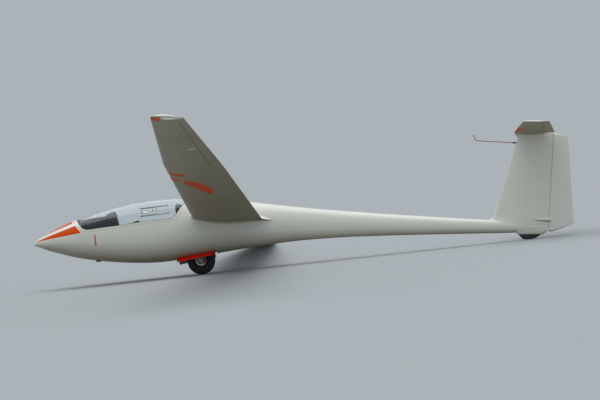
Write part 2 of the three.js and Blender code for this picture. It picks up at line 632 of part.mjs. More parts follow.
// Right wing; the left one is its mirror image
const wingRows = WING_STATIONS.slice(1).map(([y]) => y);
const wingBody = loft(wingRows.map((y) => airfoilRing((part, side) => wingPoint(y, part, side))));
const hingePart = (y) => {
  const t = (y - AILERON.innerY) / (AILERON.outerY - AILERON.innerY);
  return AILERON.innerChord + (AILERON.outerChord - AILERON.innerChord) * t;
};
const aileronHinge = (y) => wingPoint(y, hingePart(y), 0);
const hingeRadius = (y) => (
  linear(AIRFOIL, 1, hingePart(y)) * linear(WING_STATIONS, 2, y) * linear(WING_STATIONS, 3, y)
);
function aileronZone(inset, extra) {
  const [y0, y1] = [AILERON.innerY + inset, AILERON.outerY - inset];
  const [a, b] = [aileronHinge(y0), aileronHinge(y1)];
  const nose = rod(a, b, hingeRadius(y0) + extra, hingeRadius(y1) + extra);
  return nose.add(planPlate([[a[0], y0], [3200, y0], [3200, y1], [b[0], y1]], 0, FAR));
}
const aileron = wingBody.intersect(aileronZone(8, 0));

// Airbrake: a blade under a cap that closes flush with the upper skin
const brakeEnds = [AIRBRAKE.innerY, AIRBRAKE.outerY];
function brakeSlab(width, inset, low, high) {
  return loft([brakeEnds[0] + inset, brakeEnds[1] - inset].map((y) => {
    const [x, , z] = wingPoint(y, AIRBRAKE.chord, 1);
    return [[x - width / 2, y, z - low], [x + width / 2, y, z - low], [x + width / 2, y, z + high],
      [x - width / 2, y, z + high]];
  }));
}
const airbrake = brakeSlab(AIRBRAKE.cap, 8, 9, 30).intersect(wingBody)
  .add(brakeSlab(AIRBRAKE.blade, 20, AIRBRAKE.depth, -4));
const brakeRoom = brakeSlab(AIRBRAKE.cap + 2 * MOVE_GAP, 2, 9 + MOVE_GAP, 60)
  .add(brakeSlab(AIRBRAKE.blade + 2 * MOVE_GAP, 12, AIRBRAKE.depth + MOVE_GAP, 0));
const wing = wingBody.subtract(aileronZone(0, MOVE_GAP + 0.4)).subtract(brakeRoom);

// Tip skid under the wing end, and the fairing of the aileron rod
const TIP_SKID = { x0: 2290, x1: 2470, y0: 7398, y1: 7424, drop: 17 };
const skidMiddle = wingPoint(7411, 0.5, 0)[2];
const skidBottom = wingPoint(7411, 0.4, -1)[2] - TIP_SKID.drop;
const tipSkid = loft([TIP_SKID.y0, TIP_SKID.y1].map((y) => [
  [TIP_SKID.x0, y, skidMiddle], [TIP_SKID.x0, y, skidBottom + 10], [TIP_SKID.x0 + 24, y, skidBottom],
  [TIP_SKID.x1 - 24, y, skidBottom], [TIP_SKID.x1, y, skidBottom + 10], [TIP_SKID.x1, y, skidMiddle],
])).subtract(moved(wingBody, new THREE.Matrix4().makeTranslation(0, 0, -GAP)));

const ROD_FAIRING = {
  y: 5560, from: 0.58, to: 0.755, halfWidth: 17, reach: 19, sizes: [0.06, 0.6, 1, 0.9, 0.12],
};
const rodRings = ROD_FAIRING.sizes.map((size, i) => {
  const part = ROD_FAIRING.from + ((ROD_FAIRING.to - ROD_FAIRING.from) * i) / (ROD_FAIRING.sizes.length - 1);
  const [x, y, z] = wingPoint(ROD_FAIRING.y, part, -1);
  const [across, down] = [ROD_FAIRING.halfWidth * size, ROD_FAIRING.reach * size];
  return circle(12).map(([c, s]) => [x, y + across * c, z + down * s]);
});
const rodFairing = loft(rodRings).subtract(moved(wingBody, new THREE.Matrix4().makeTranslation(0, 0, -GAP)));

// Undercarriage
const FORK = { inner: 72, outer: 86, width: 50, topX: 2060, topZ: WELL.top - GAP, eye: 28, bar: 40 };
const wheelRod = (y0, y1, radius) => rod([WHEEL.x, y0, WHEEL.z], [WHEEL.x, y1, WHEEL.z], radius, radius, 24);
const bore = WHEEL.axleRadius + 2 * GAP;
const forkSide = (side) => {
  const [y0, y1] = [side * FORK.inner, side * FORK.outer].sort((a, b) => a - b);
  const half = FORK.width / 2;
  return sidePlate([[WHEEL.x - half, WHEEL.z], [WHEEL.x + half, WHEEL.z], [FORK.topX + 50, FORK.topZ],
    [FORK.topX - 30, FORK.topZ]], y0, y1).add(wheelRod(y0, y1, FORK.eye));
};
const gearFork = forkSide(-1).add(forkSide(1))
  .add(block(FORK.topX - 20, FORK.topX + 40, -FORK.outer, FORK.outer, FORK.topZ - FORK.bar, FORK.topZ))
  .subtract(wheelRod(-FORK.outer - 20, FORK.outer + 20, bore));
const axle = wheelRod(-FORK.outer - 12, FORK.outer + 12, WHEEL.axleRadius);

const RIM = [
  [bore, -50], [26, -50], [30, -24], [52, -16], [56, -45], [72, -45], [72, -41], [WHEEL.rimRadius, -40],
];
const rim = turned([...RIM, ...[...RIM].reverse().map(([r, y]) => [r, -y]), RIM[0]], WHEEL.x, WHEEL.z, 40);
const TYRE = [
  [WHEEL.rimRadius + 0.5, 0], [WHEEL.rimRadius + 0.5, 40], [73, 40], [84, 57], [110, WHEEL.halfWidth],
  [142, 62], [162, 50], [173, 30], [WHEEL.radius, 12],
];
const tyre = turned(
  [...TYRE, ...TYRE.slice(1).reverse().map(([r, y]) => [r, -y]), TYRE[0]], WHEEL.x, WHEEL.z, 48,
);
const CALIPER = { x0: 2158, x1: 2206, outer: 112, bottom: -478, top: -412 };
const caliper = block(
  CALIPER.x0, CALIPER.x1, -CALIPER.outer, -FORK.outer - GAP, CALIPER.bottom, CALIPER.top,
);

// Gear doors: pieces of the belly skin, turned open about their outer edges
function gearDoor(side) {
  const [y0, y1] = [side * 2, side * (DOOR.root - 4)].sort((a, b) => a - b);
  const closed = bodyLoft(DOOR.x0 - 60, DOOR.x1 + 60)
    .subtract(bodyLoft(DOOR.x0 - 80, DOOR.x1 + 80, DOOR.thickness))
    .intersect(block(DOOR.x0, DOOR.x1, y0, y1, -FAR, -200));
  const { point, axis } = doorHinge(side);
  return moved(closed, turnAbout(point, axis, side * DOOR.open));
}
function doorHinge(side) {
  const hingeAt = (x) => [x, side * DOOR.root, bellyHeight(x, DOOR.root) - DOOR.hingeDepth];
  const [a, b] = [DOOR.x0, DOOR.x1].map(hingeAt);
  return { point: a, axis: b.map((value, k) => value - a[k]) };
}

// Paints and materials
const finish = (color, roughness, metalness = 0) => ({ color, roughness, metalness });
const GELCOAT = finish(0xe8e4d8, 0.25);
const GLASS = { color: 0xdfe8ec, roughness: 0.05, metalness: 0, transparent: true, opacity: 0.25 };
const BLACK = finish(0x16181d, 0.6);
const RUBBER = finish(0x121212, 0.85);
const STEEL = finish(0x9a9da0, 0.4, 0.9);
const RED = finish(0xd2160a, 0.5);

const PIECES = [
  ['cockpit_shell', cockpitShell, GELCOAT],
  ['centre_fuselage', centreFuselage, GELCOAT],
  ['tail_boom', tailBoom, GELCOAT],
  ['fin', fin, GELCOAT],
  ['rudder', rudder, GELCOAT],
  ['rudder_fairing_left', driveFairing(-1), GELCOAT],
  ['rudder_fairing_right', driveFairing(1), GELCOAT],
  ['tailplane', tailplane, GELCOAT],
  ['elevator', elevator, GELCOAT],
  ['energy_probe', probe, finish(0x7a3a30, 0.5)],
  ['tail_skid', tailSkid, RUBBER],
  ['wing_left', mirrored(wing), GELCOAT],
  ['wing_right', wing, GELCOAT],
  ['aileron_left', mirrored(aileron), GELCOAT],
  ['aileron_right', aileron, GELCOAT],
  ['airbrake_left', mirrored(airbrake), GELCOAT],
  ['airbrake_right', airbrake, GELCOAT],
  ['tip_skid_left', mirrored(tipSkid), GELCOAT],
  ['tip_skid_right', tipSkid, GELCOAT],
  ['rod_fairing_left', mirrored(rodFairing), GELCOAT],
  ['rod_fairing_right', rodFairing, GELCOAT],
  ['canopy_frame', canopyFrame, GELCOAT],
  ['canopy_glass', canopyGlass, GLASS],
  ['sliding_window', slidingWindow, GLASS],
  ['instrument_cover', instrumentCover, BLACK],
  ['instrument_panel', instrumentPanel, BLACK],
  ['seat_pan', seatPan, finish(0xb9b6ac, 0.5)],
  ['seat_cushion', seatCushion, finish(0x3c4046, 0.9)],
  ['headrest', headrest, BLACK],
  ['control_stick', controlStick, BLACK],
  ...LEVERS.map(([name, ...values]) => [name, lever(...values), BLACK]),
  ['rudder_pedals', rudderPedals, STEEL],
  ['tow_hook', towHook, STEEL],
  ['gear_fork', gearFork, STEEL],
  ['axle', axle, STEEL],
  ['wheel_rim', rim, STEEL],
  ['tyre', tyre, RUBBER],
  ['brake_caliper', caliper, finish(0x7d1f16, 0.5)],
  ['gear_door_left', gearDoor(-1), RED],
  ['gear_door_right', gearDoor(1), RED],
];

const level = new THREE.Group();
for (const [name, solid, look] of PIECES) {
  const mesh = new THREE.Mesh(toGeometry(solid), new THREE.MeshStandardMaterial(look));
  mesh.name = name;
  level.add(mesh);
}

// Parked attitude: roll and pitch at which the tyre, the tail skid and the right tip skid share one floor
const SUPPORTS = ['tyre', 'tail_skid', 'tip_skid_right'];
const support = SUPPORTS.map((name) => {
  const { position } = level.getObjectByName(name).geometry.attributes;
  const pointAt = (i) => new THREE.Vector3().fromBufferAttribute(position, i);
  return Array.from({ length: position.count }, (_, i) => pointAt(i));
});
function attitude(roll, pitch) {
  return new THREE.Matrix4().makeRotationY(pitch).multiply(new THREE.Matrix4().makeRotationX(roll));
}
function footHeights(roll, pitch) {
  const turn = attitude(roll, pitch);
  return support.map((points) => Math.min(...points.map((p) => p.clone().applyMatrix4(turn).z)));
}
const REACH = { tail: 4120, tip: 7400 };     // level distance from the tyre's foot to each of the others
let [roll, pitch] = [-8 * DEG, 6 * DEG];
for (let step = 0; step < 12; step += 1) {
  const [wheelLow, tailLow, tipLow] = footHeights(roll, pitch);
  pitch += (tailLow - wheelLow) / REACH.tail;
  roll -= (tipLow - wheelLow) / REACH.tip;
}
level.applyMatrix4(attitude(roll, pitch));

// The origin is under the middle of the parked aircraft's box
const parked = new THREE.Group();
parked.add(level);
parked.updateMatrixWorld(true);
const box = new THREE.Box3().setFromObject(parked, true);
level.position.set(-(box.min.x + box.max.x) / 2, -(box.min.y + box.max.y) / 2, -box.min.z);

export default parked;
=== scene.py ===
# Single-seat sailplane, parked on its main wheel, tail skid and right wing tip.
# Shapes are drawn in the level aircraft: metres, X aft from the nose, Y to the right wing, Z up.
import json
import math

import bmesh
import bpy
from mathutils import Matrix, Vector

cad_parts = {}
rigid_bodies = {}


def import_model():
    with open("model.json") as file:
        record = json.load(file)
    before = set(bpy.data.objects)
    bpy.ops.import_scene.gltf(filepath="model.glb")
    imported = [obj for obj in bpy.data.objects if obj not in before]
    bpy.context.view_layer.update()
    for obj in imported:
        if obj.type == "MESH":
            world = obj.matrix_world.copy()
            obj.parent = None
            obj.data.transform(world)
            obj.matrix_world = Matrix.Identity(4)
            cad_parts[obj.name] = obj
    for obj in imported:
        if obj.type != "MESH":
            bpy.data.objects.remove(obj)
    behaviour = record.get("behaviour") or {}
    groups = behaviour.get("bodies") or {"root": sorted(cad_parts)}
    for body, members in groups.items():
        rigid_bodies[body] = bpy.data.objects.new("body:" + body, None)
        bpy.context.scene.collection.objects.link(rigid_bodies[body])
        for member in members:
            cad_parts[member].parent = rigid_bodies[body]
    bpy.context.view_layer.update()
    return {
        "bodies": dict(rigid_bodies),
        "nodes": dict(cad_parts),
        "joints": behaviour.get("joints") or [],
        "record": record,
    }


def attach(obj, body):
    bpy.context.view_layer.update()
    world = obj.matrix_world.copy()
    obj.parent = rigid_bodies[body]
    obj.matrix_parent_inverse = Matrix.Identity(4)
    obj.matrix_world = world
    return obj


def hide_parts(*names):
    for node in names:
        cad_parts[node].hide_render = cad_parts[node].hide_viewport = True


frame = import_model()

joints = {j["name"]: j for j in frame["joints"]}
wheelCentre = (2.129, 0.0, -0.430)


def levelToParked():
    # the wheel's axle is the level Y axis and the airbrakes slide along the level Z axis
    across = Vector(joints["wheel_spin"]["axis"]).normalized()
    up = Vector(joints["airbrake_right_slide"]["axis"]).normalized()
    aft = across.cross(up).normalized()
    turn = Matrix((aft, across, up)).transposed()
    place = Vector(joints["wheel_spin"]["pos_m"]) - turn @ Vector(wheelCentre)
    return Matrix.Translation(place) @ turn.to_4x4()


parked = levelToParked()
print("stage 1: frame loaded")


# Camera: the photograph's viewing angle against the aircraft
cameraSet = {
    "aim": (3.376, 0.0, 0.335),      # level point at the middle of the picture
    "azimuth": 3.4,                  # degrees aft of abeam, on the left side
    "below": 5.75,                   # degrees under the wing's plane
    "distance": 46.0,
    "pixelsPerMetre": 79.0,
    "pictureWidth": 600.0,
    "roll": 0.2,
    "sensor": 36.0,
    "reach": 500.0,
}


def placeCamera(c):
    a, e = math.radians(c["azimuth"]), math.radians(c["below"])
    view = Vector((-math.sin(a) * math.cos(e), math.cos(a) * math.cos(e), math.sin(e)))
    right = Vector((math.cos(a), math.sin(a), 0))
    up = right.cross(view)
    r = math.radians(c["roll"])
    right, up = right * math.cos(r) + up * math.sin(r), up * math.cos(r) - right * math.sin(r)
    place = Vector(c["aim"]) - view * c["distance"]
    turn = Matrix((right, up, -view)).transposed().to_4x4()
    data = bpy.data.cameras.new("camera")
    data.sensor_width = c["sensor"]
    data.lens = c["sensor"] * c["pixelsPerMetre"] * c["distance"] / c["pictureWidth"]
    data.clip_end = c["reach"]
    camera = bpy.data.objects.new("camera", data)
    camera.matrix_world = parked @ Matrix.Translation(place) @ turn
    bpy.context.scene.collection.objects.link(camera)
    bpy.context.scene.camera = camera


placeCamera(cameraSet)
print("stage 2: camera placed")


# Materials
def newMaterial(name, **sockets):
    mat = bpy.data.materials.new(name)
    mat.use_nodes = True
    shader = mat.node_tree.nodes["Principled BSDF"]
    for key, value in sockets.items():
        shader.inputs[key.replace("_", " ")].default_value = value
    return mat, mat.node_tree, shader


def newGroup(name, inputs, outputs):
    # inputs are names with plain values, colours as four numbers; outputs are names
    group = bpy.data.node_groups.new(name, "ShaderNodeTree")
    for label, value in inputs.items():
        kind = "NodeSocketColor" if isinstance(value, tuple) else "NodeSocketFloat"
        socket = group.interface.new_socket(label, in_out="INPUT", socket_type=kind)
        socket.default_value = value
    for label in outputs:
        kind = "NodeSocketColor" if label == "Color" else "NodeSocketFloat"
        group.interface.new_socket(label, in_out="OUTPUT", socket_type=kind)
    given, out = group.nodes.new("NodeGroupInput").outputs, group.nodes.new("NodeGroupOutput").inputs
    return group, given, out


def feed(tree, socket, value):
    # links a socket's output, or sets a plain value
    if hasattr(value, "is_linked"):
        tree.links.new(value, socket)
    else:
        socket.default_value = value


def mathNode(tree, operation, a, b, clamp=False):
    node = tree.nodes.new("ShaderNodeMath")
    node.operation = operation
    node.use_clamp = clamp
    feed(tree, node.inputs[0], a)
    feed(tree, node.inputs[1], b)
    return node.outputs[0]


def noiseNode(tree, vector, scale, detail=3.0, roughness=0.5):
    node = tree.nodes.new("ShaderNodeTexNoise")
    node.inputs["Detail"].default_value = detail
    node.inputs["Roughness"].default_value = roughness
    tree.links.new(vector, node.inputs["Vector"])
    feed(tree, node.inputs["Scale"], scale)
    return node.outputs["Fac"]


def rampNode(tree, value, low, high):
    node = tree.nodes.new("ShaderNodeMapRange")
    node.inputs["From Min"].default_value = low
    node.inputs["From Max"].default_value = high
    tree.links.new(value, node.inputs["Value"])
    return node.outputs["Result"]


def mixColor(tree, factor, a, b):
    node = tree.nodes.new("ShaderNodeMix")
    node.data_type = "RGBA"
    for key, value in (("Factor", factor), (6, a), (7, b)):
        feed(tree, node.inputs[key], value)
    return node.outputs[2]


def addRelief(tree, shader, height, strength, depth):
    relief = tree.nodes.new("ShaderNodeBump")
    relief.inputs["Strength"].default_value = strength
    relief.inputs["Distance"].default_value = depth
    tree.links.new(height, relief.inputs["Height"])
    tree.links.new(relief.outputs["Normal"], shader.inputs["Normal"])


toneSet = {
    "broadRamp": (0.35, 0.7), "fineRamp": (0.4, 0.75), "fineShare": 0.6, "strength": 0.62,
    "underShadeRamp": (-0.1, -0.95),      # how far a face looks down before and when the painted under shade is full
}


def buildSoftTone(s):
    # broad and fine patches that darken or warm a finish, and painted shade that darkens the undersides
    # towards the dirt's colour
    group, given, out = newGroup("softTone", {
        "Color": (0.8, 0.8, 0.8, 1), "Dirt": (0.2, 0.18, 0.13, 1), "Broad Scale": 1.5, "Fine Scale": 40.0,
        "Amount": 0.1, "Under": 0.0,
    }, ("Color", "CleanUnshaded"))
    place = group.nodes.new("ShaderNodeTexCoord")
    spot = place.outputs["Object"]
    broad = rampNode(group, noiseNode(group, spot, given["Broad Scale"], 4.0), *s["broadRamp"])
    fine = rampNode(group, noiseNode(group, spot, given["Fine Scale"], 5.0, 0.6), *s["fineRamp"])
    patches = mathNode(group, "ADD", broad, mathNode(group, "MULTIPLY", fine, s["fineShare"]))
    patches = mathNode(group, "MULTIPLY", patches, s["strength"])
    # painted shade: faces that look down are mixed towards the dirt colour
    facing = group.nodes.new("ShaderNodeSeparateXYZ")
    group.links.new(place.outputs["Normal"], facing.inputs[0])
    underShade = rampNode(group, facing.outputs["Z"], *s["underShadeRamp"])
    underShade = mathNode(group, "MULTIPLY", underShade, given["Under"])
    dirtAndShadeMask = mathNode(group, "MULTIPLY", patches, given["Amount"])
    dirtAndShadeMask = mathNode(group, "ADD", dirtAndShadeMask, underShade, clamp=True)
    tone = mixColor(group, dirtAndShadeMask, given["Color"], given["Dirt"])
    group.links.new(tone, out["Color"])
    group.links.new(mathNode(group, "SUBTRACT", 1.0, dirtAndShadeMask, clamp=True), out["CleanUnshaded"])
    return group


grainSet = {"detail": 3.0, "roughness": 0.55, "patchScale": 9.0, "depth": 0.0004}


def buildFineGrain(s):
    # small bumps: pitch and roughness of a moulded, sprayed or cast surface
    group, given, out = newGroup("fineGrain", {"Scale": 300.0, "Rough Low": 0.3, "Rough High": 0.5},
                                 ("Height", "Roughness"))
    spot = group.nodes.new("ShaderNodeTexCoord").outputs["Object"]
    noise = noiseNode(group, spot, given["Scale"], s["detail"], s["roughness"])
    patches = noiseNode(group, spot, s["patchScale"], s["detail"])
    span = mathNode(group, "SUBTRACT", given["Rough High"], given["Rough Low"])
    rough = mathNode(group, "ADD", given["Rough Low"], mathNode(group, "MULTIPLY", patches, span))
    group.links.new(noise, out["Height"])
    group.links.new(rough, out["Roughness"])
    return group


weaveSet = {"distortion": 0.6, "strength": 0.5, "depth": 0.0008}


def buildWeave(s):
    # crossed threads for cloth and webbing
    group, given, out = newGroup("weave", {
        "Color": (0.1, 0.1, 0.1, 1), "Thread": (0.2, 0.2, 0.2, 1), "Scale": 420.0,
    }, ("Color", "Height"))
    spot = group.nodes.new("ShaderNodeTexCoord").outputs["Object"]
    bands = []
    for direction in ("X", "Z"):
        wave = group.nodes.new("ShaderNodeTexWave")
        wave.bands_direction = direction
        wave.inputs["Distortion"].default_value = s["distortion"]
        group.links.new(spot, wave.inputs["Vector"])
        group.links.new(given["Scale"], wave.inputs["Scale"])
        bands.append(wave.outputs["Fac"])
    height = mathNode(group, "MAXIMUM", *bands)
    threads = mixColor(group, height, given["Color"], given["Thread"])
    group.links.new(height, out["Height"])
    group.links.new(threads, out["Color"])
    return group


softTone = buildSoftTone(toneSet)
fineGrain = buildFineGrain(grainSet)
weave = buildWeave(weaveSet)


def placeGroup(tree, group, **values):
    node = tree.nodes.new("ShaderNodeGroup")
    node.node_tree = group
    for key, value in values.items():
        node.inputs[key.replace("_", " ")].default_value = value
    return node


def finish(name, color, dirtAndShade, amount, scales, bump, rough, underShade=0.0, coat=0.0, **sockets):
    # scales are those of the broad patches, the fine patches and the grain
    mat, tree, shader = newMaterial(name, **sockets)
    tone = placeGroup(tree, softTone, Color=(*color, 1), Dirt=(*dirtAndShade, 1), Broad_Scale=scales[0],
                      Fine_Scale=scales[1], Amount=amount, Under=underShade)
    skin = placeGroup(tree, fineGrain, Scale=scales[2], Rough_Low=rough[0], Rough_High=rough[1])
    tree.links.new(tone.outputs["Color"], shader.inputs["Base Color"])
    tree.links.new(skin.outputs["Roughness"], shader.inputs["Roughness"])
    if coat:
        # polish lasts only where the paint is clean and out of the painted under shade
        tree.links.new(mathNode(tree, "MULTIPLY", tone.outputs["CleanUnshaded"], coat), shader.inputs["Coat Weight"])
    addRelief(tree, shader, skin.outputs["Height"], bump, grainSet["depth"])
    return mat


def clothFinish(name, color, thread, scale, **sockets):
    mat, tree, shader = newMaterial(name, **sockets)
    cloth = placeGroup(tree, weave, Color=(*color, 1), Thread=(*thread, 1), Scale=scale)
    tree.links.new(cloth.outputs["Color"], shader.inputs["Base Color"])
    addRelief(tree, shader, cloth.outputs["Height"], weaveSet["strength"], weaveSet["depth"])
    return mat


glassSet = {
    "tint": (0.97, 0.985, 1.0, 1), "edge": (0.33, 0.30, 0.27, 1),
    "edgeRamp": (0.84, 0.93),        # how far the sheet turns away before and when the edge colour is full
    "roughness": 0.02, "ior": 1.32,
}


def glassFinish(name, s):
    # clear sheet that looks darker where it turns away
    mat, tree, shader = newMaterial(name, Roughness=s["roughness"], Transmission_Weight=1.0, IOR=s["ior"])
    facing = tree.nodes.new("ShaderNodeLayerWeight")
    fade = rampNode(tree, facing.outputs["Facing"], *s["edgeRamp"])
    tree.links.new(mixColor(tree, fade, s["tint"], s["edge"]), shader.inputs["Base Color"])
    return mat


# material, colour, dirt's colour and amount, three scales, strength of the bumps, roughness
plainFinishes = {
    "rubber": ("rubber", (0.016, 0.016, 0.017), (0.13, 0.11, 0.085), 0.35, (9, 120, 700), 0.35, (0.65, 0.9)),
    "tyre": ("tyreRubber", (0.008, 0.008, 0.0085), (0.07, 0.062, 0.05), 0.25, (8, 90, 600), 0.3,
             (0.65, 0.88)),
    "brake": ("brakePaint", (0.30, 0.028, 0.018), (0.06, 0.03, 0.025), 0.4, (20, 150, 420), 0.15, (0.4, 0.6)),
    "probe": ("probePaint", (0.26, 0.055, 0.035), (0.12, 0.05, 0.04), 0.3, (10, 100, 300), 0.05, (0.35, 0.5)),
    "liner": ("cockpitLiner", (0.36, 0.355, 0.335), (0.2, 0.19, 0.175), 0.3, (6, 120, 500), 0.25, (0.5, 0.7)),
    "well": ("wheelWell", (0.20, 0.19, 0.165), (0.05, 0.045, 0.035), 0.6, (8, 70, 300), 0.3, (0.6, 0.85)),
    "dial": ("dialFace", (0.012, 0.012, 0.013), (0.16, 0.14, 0.1), 0.05, (40, 300, 300), 0.05, (0.4, 0.5)),
    "mark": ("dialMark", (0.85, 0.85, 0.82), (0.16, 0.14, 0.1), 0.04, (40, 300, 300), 0.05, (0.5, 0.6)),
    # the scoop's clear flap gets an opaque off-white: painted light for the brightness it shows
    "tape": ("paintedFlapLight", (0.83, 0.82, 0.77), (0.5, 0.48, 0.42), 0.15, (10, 90, 500), 0.05, (0.4, 0.55)),
    "rail": ("railBrown", (0.15, 0.135, 0.11), (0.06, 0.055, 0.05), 0.2, (20, 160, 500), 0.05, (0.4, 0.55)),
}
for key, color in (("blueKnob", (0.02, 0.07, 0.42)), ("greenKnob", (0.03, 0.24, 0.06)),
                   ("redKnob", (0.5, 0.02, 0.015))):
    plainFinishes[key] = (key, color, (0.16, 0.14, 0.1), 0.1, (40, 300, 300), 0.05, (0.3, 0.42))
paints = {key: finish(*values) for key, values in plainFinishes.items()}
paints.update({
    # painted shade: gelcoat undersides turn most of the way to the dark olive dirt colour, orange stripes a
    # little
    "gelcoat": finish("gelcoat", (0.735, 0.713, 0.632), (0.20, 0.167, 0.088), 0.09, (0.7, 24, 220), 0.012,
                      (0.38, 0.46), underShade=0.88, coat=0.75, Coat_Roughness=0.13, Specular_IOR_Level=0.12),
    "orange": finish("orangeStripe", (0.70, 0.072, 0.0), (0.36, 0.04, 0.0), 0.1, (1.5, 40, 200), 0.05,
                     (0.5, 0.6), underShade=0.3, Specular_IOR_Level=0.12),
    "red": finish("fluorescentRed", (0.88, 0.008, 0.003), (0.42, 0.010, 0.005), 0.08, (1.5, 40, 240), 0.05,
                  (0.5, 0.6), Specular_IOR_Level=0.12),
    "black": finish("blackTrim", (0.006, 0.007, 0.010), (0.022, 0.022, 0.025), 0.25, (12, 160, 900), 0.15,
                    (0.6, 0.75), Specular_IOR_Level=0.2),
    "steel": finish("steel", (0.42, 0.42, 0.42), (0.10, 0.08, 0.06), 0.4, (20, 200, 500), 0.12, (0.28, 0.5),
                    Metallic=1.0),
    "alloy": finish("alloy", (0.62, 0.62, 0.61), (0.16, 0.14, 0.12), 0.35, (20, 180, 500), 0.15, (0.3, 0.5),
                    Metallic=1.0),
    "floor": finish("floorPaint", (0.372, 0.388, 0.398), (0.350, 0.365, 0.375), 0.2, (0.25, 3, 40), 0.02,
                    (0.9, 1.0), Specular_IOR_Level=0.0),
    "cloth": clothFinish("seatCloth", (0.035, 0.04, 0.055), (0.085, 0.095, 0.12), 420, Roughness=0.9),
    "padCloth": clothFinish("headrestCloth", (0.009, 0.010, 0.014), (0.028, 0.029, 0.036), 420,
                            Roughness=0.88),
    "webbing": clothFinish("harnessWebbing", (0.026, 0.030, 0.050), (0.06, 0.066, 0.095), 700,
                           Roughness=0.75),
    "perspex": glassFinish("perspex", glassSet),
})
print("stage 3: materials built")


# The slot named for each paint, where a piece doesn't name its own; addPiece looks it up but assigns no slot
slotOf = {
    "gelcoat": "gelcoat", "orange": "gelcoat", "red": "red_paint", "redKnob": "red_paint",
    "black": "black_trim", "blueKnob": "black_trim", "greenKnob": "black_trim", "well": "black_trim",
    "dial": "black_trim", "mark": "black_trim", "rail": "black_trim", "rubber": "rubber", "tyre": "tyre",
    "steel": "steel", "alloy": "alloy", "brake": "brake_paint", "probe": "probe_paint", "liner": "seat_shell",
    "perspex": "perspex", "tape": "perspex", "cloth": "seat_cloth", "webbing": "seat_cloth",
    "padCloth": "black_cloth",
}


# Mesh helpers
def newObject(name, verts, faces):
    mesh = bpy.data.meshes.new(name)
    mesh.from_pydata([tuple(v) for v in verts], [], faces)
    made = bpy.data.objects.new(name, mesh)
    bpy.context.scene.collection.objects.link(made)
    return made


def addPiece(name, shape, paint, replaced=None, body="airframe", slot=None, sharp=35, merge=2e-6, inner=None):
    # replaced is the node, or a list of nodes, that the piece stands for
    # inner is a paint and a test of a face's middle, for faces that take that paint
    piece = newObject(name, *shape)
    mesh = piece.data
    if inner:
        for face in mesh.polygons:
            face.material_index = int(inner[1](face.center))
    work = bmesh.new()
    work.from_mesh(mesh)
    bmesh.ops.remove_doubles(work, verts=work.verts, dist=merge)
    bmesh.ops.dissolve_degenerate(work, edges=work.edges, dist=merge)
    bmesh.ops.recalc_face_normals(work, faces=work.faces)
    if all(edge.is_manifold for edge in work.edges) and work.calc_volume(signed=True) < 0:
        bmesh.ops.reverse_faces(work, faces=work.faces)
    work.to_mesh(mesh)
    work.free()
    mesh.transform(parked)
    mesh.shade_smooth()
    mesh.set_sharp_from_angle(angle=math.radians(sharp))
    mesh.materials.append(paints[paint])
    if inner:
        mesh.materials.append(paints[inner[0]])
    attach(piece, body)
    if replaced:
        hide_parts(*([replaced] if isinstance(replaced, str) else replaced))
    slot or slotOf[paint]
    return piece


def loft(rings, capStart=True, capEnd=True, closed=True):
    count = len(rings[0])
    verts = [v for ring in rings for v in ring]
    faces = []
    for i in range(len(rings) - 1):
        for j in range(count if closed else count - 1):
            k = (j + 1) % count
            faces.append((i * count + j, i * count + k, (i + 1) * count + k, (i + 1) * count + j))
    last = (len(rings) - 1) * count
    if capStart:
        faces.append(tuple(range(count)))
    if capEnd:
        faces.append(tuple(range(last, last + count)))
    return verts, faces


def sheet(rows):
    # open surface through rows of points
    return loft(rows, False, False, False)


def joinShapes(*shapes):
    verts, faces = [], []
    for v, f in shapes:
        base = len(verts)
        verts += list(v)
        faces += [tuple(i + base for i in face) for face in f]
    return verts, faces


def circle(sides):
    return [(math.cos(a), math.sin(a)) for a in spread(0, 2 * math.pi, sides + 1)[:-1]]


def runAt(line, i):
    # direction of a line at one of its points
    return (line[min(i + 1, len(line) - 1)] - line[max(i - 1, 0)]).normalized()


def tube(path, radius, sides=12):
    # round tube along points; radius is a number or one number for each point
    points = [Vector(p) for p in path]
    radii = radius if isinstance(radius, (list, tuple)) else [radius] * len(points)
    rings = []
    normal = None
    for i, p in enumerate(points):
        run = runAt(points, i)
        if normal is None:
            normal = run.orthogonal().normalized()
        normal = (normal - run * normal.dot(run)).normalized()
        side = run.cross(normal)
        rings.append([p + (normal * c + side * s) * radii[i] for c, s in circle(sides)])
    return loft(rings)


def roundBlock(centre, size, bevel, axes=((1, 0, 0), (0, 1, 0), (0, 0, 1)), segments=3):
    work = bmesh.new()
    bmesh.ops.create_cube(work, size=1)
    for v in work.verts:
        v.co = Vector([v.co[k] * size[k] for k in range(3)])
    bmesh.ops.bevel(work, geom=list(work.edges), offset=bevel, segments=segments, affect="EDGES", profile=0.5)
    work.verts.index_update()
    turn = Matrix([Vector(a).normalized() for a in axes]).transposed()
    verts = [Vector(centre) + turn @ v.co for v in work.verts]
    faces = [tuple(v.index for v in f.verts) for f in work.faces]
    work.free()
    return verts, faces


def turned(profile, centre, axis=(0, 1, 0), sides=48):
    # profile of (radius, place along the axis), turned about the axis through the centre
    along = Vector(axis).normalized()
    first = along.orthogonal().normalized()
    second = along.cross(first)
    verts = []
    for c, s in circle(sides):
        out = first * c + second * s
        verts += [Vector(centre) + out * r + along * h for r, h in profile]
    count = len(profile)
    faces = []
    for i in range(sides):
        n = (i + 1) % sides
        for j in range(count):
            m = (j + 1) % count
            faces.append((i * count + j, i * count + m, n * count + m, n * count + j))
    return verts, faces


def mirrored(points):
    return [Vector((p[0], -p[1], p[2])) for p in points]


def mirrorShape(shape):
    verts, faces = shape
    return mirrored(verts), [tuple(reversed(f)) for f in faces]


def both(shape):
    return {"left": mirrorShape(shape), "right": shape}


weldDistance = 1e-6


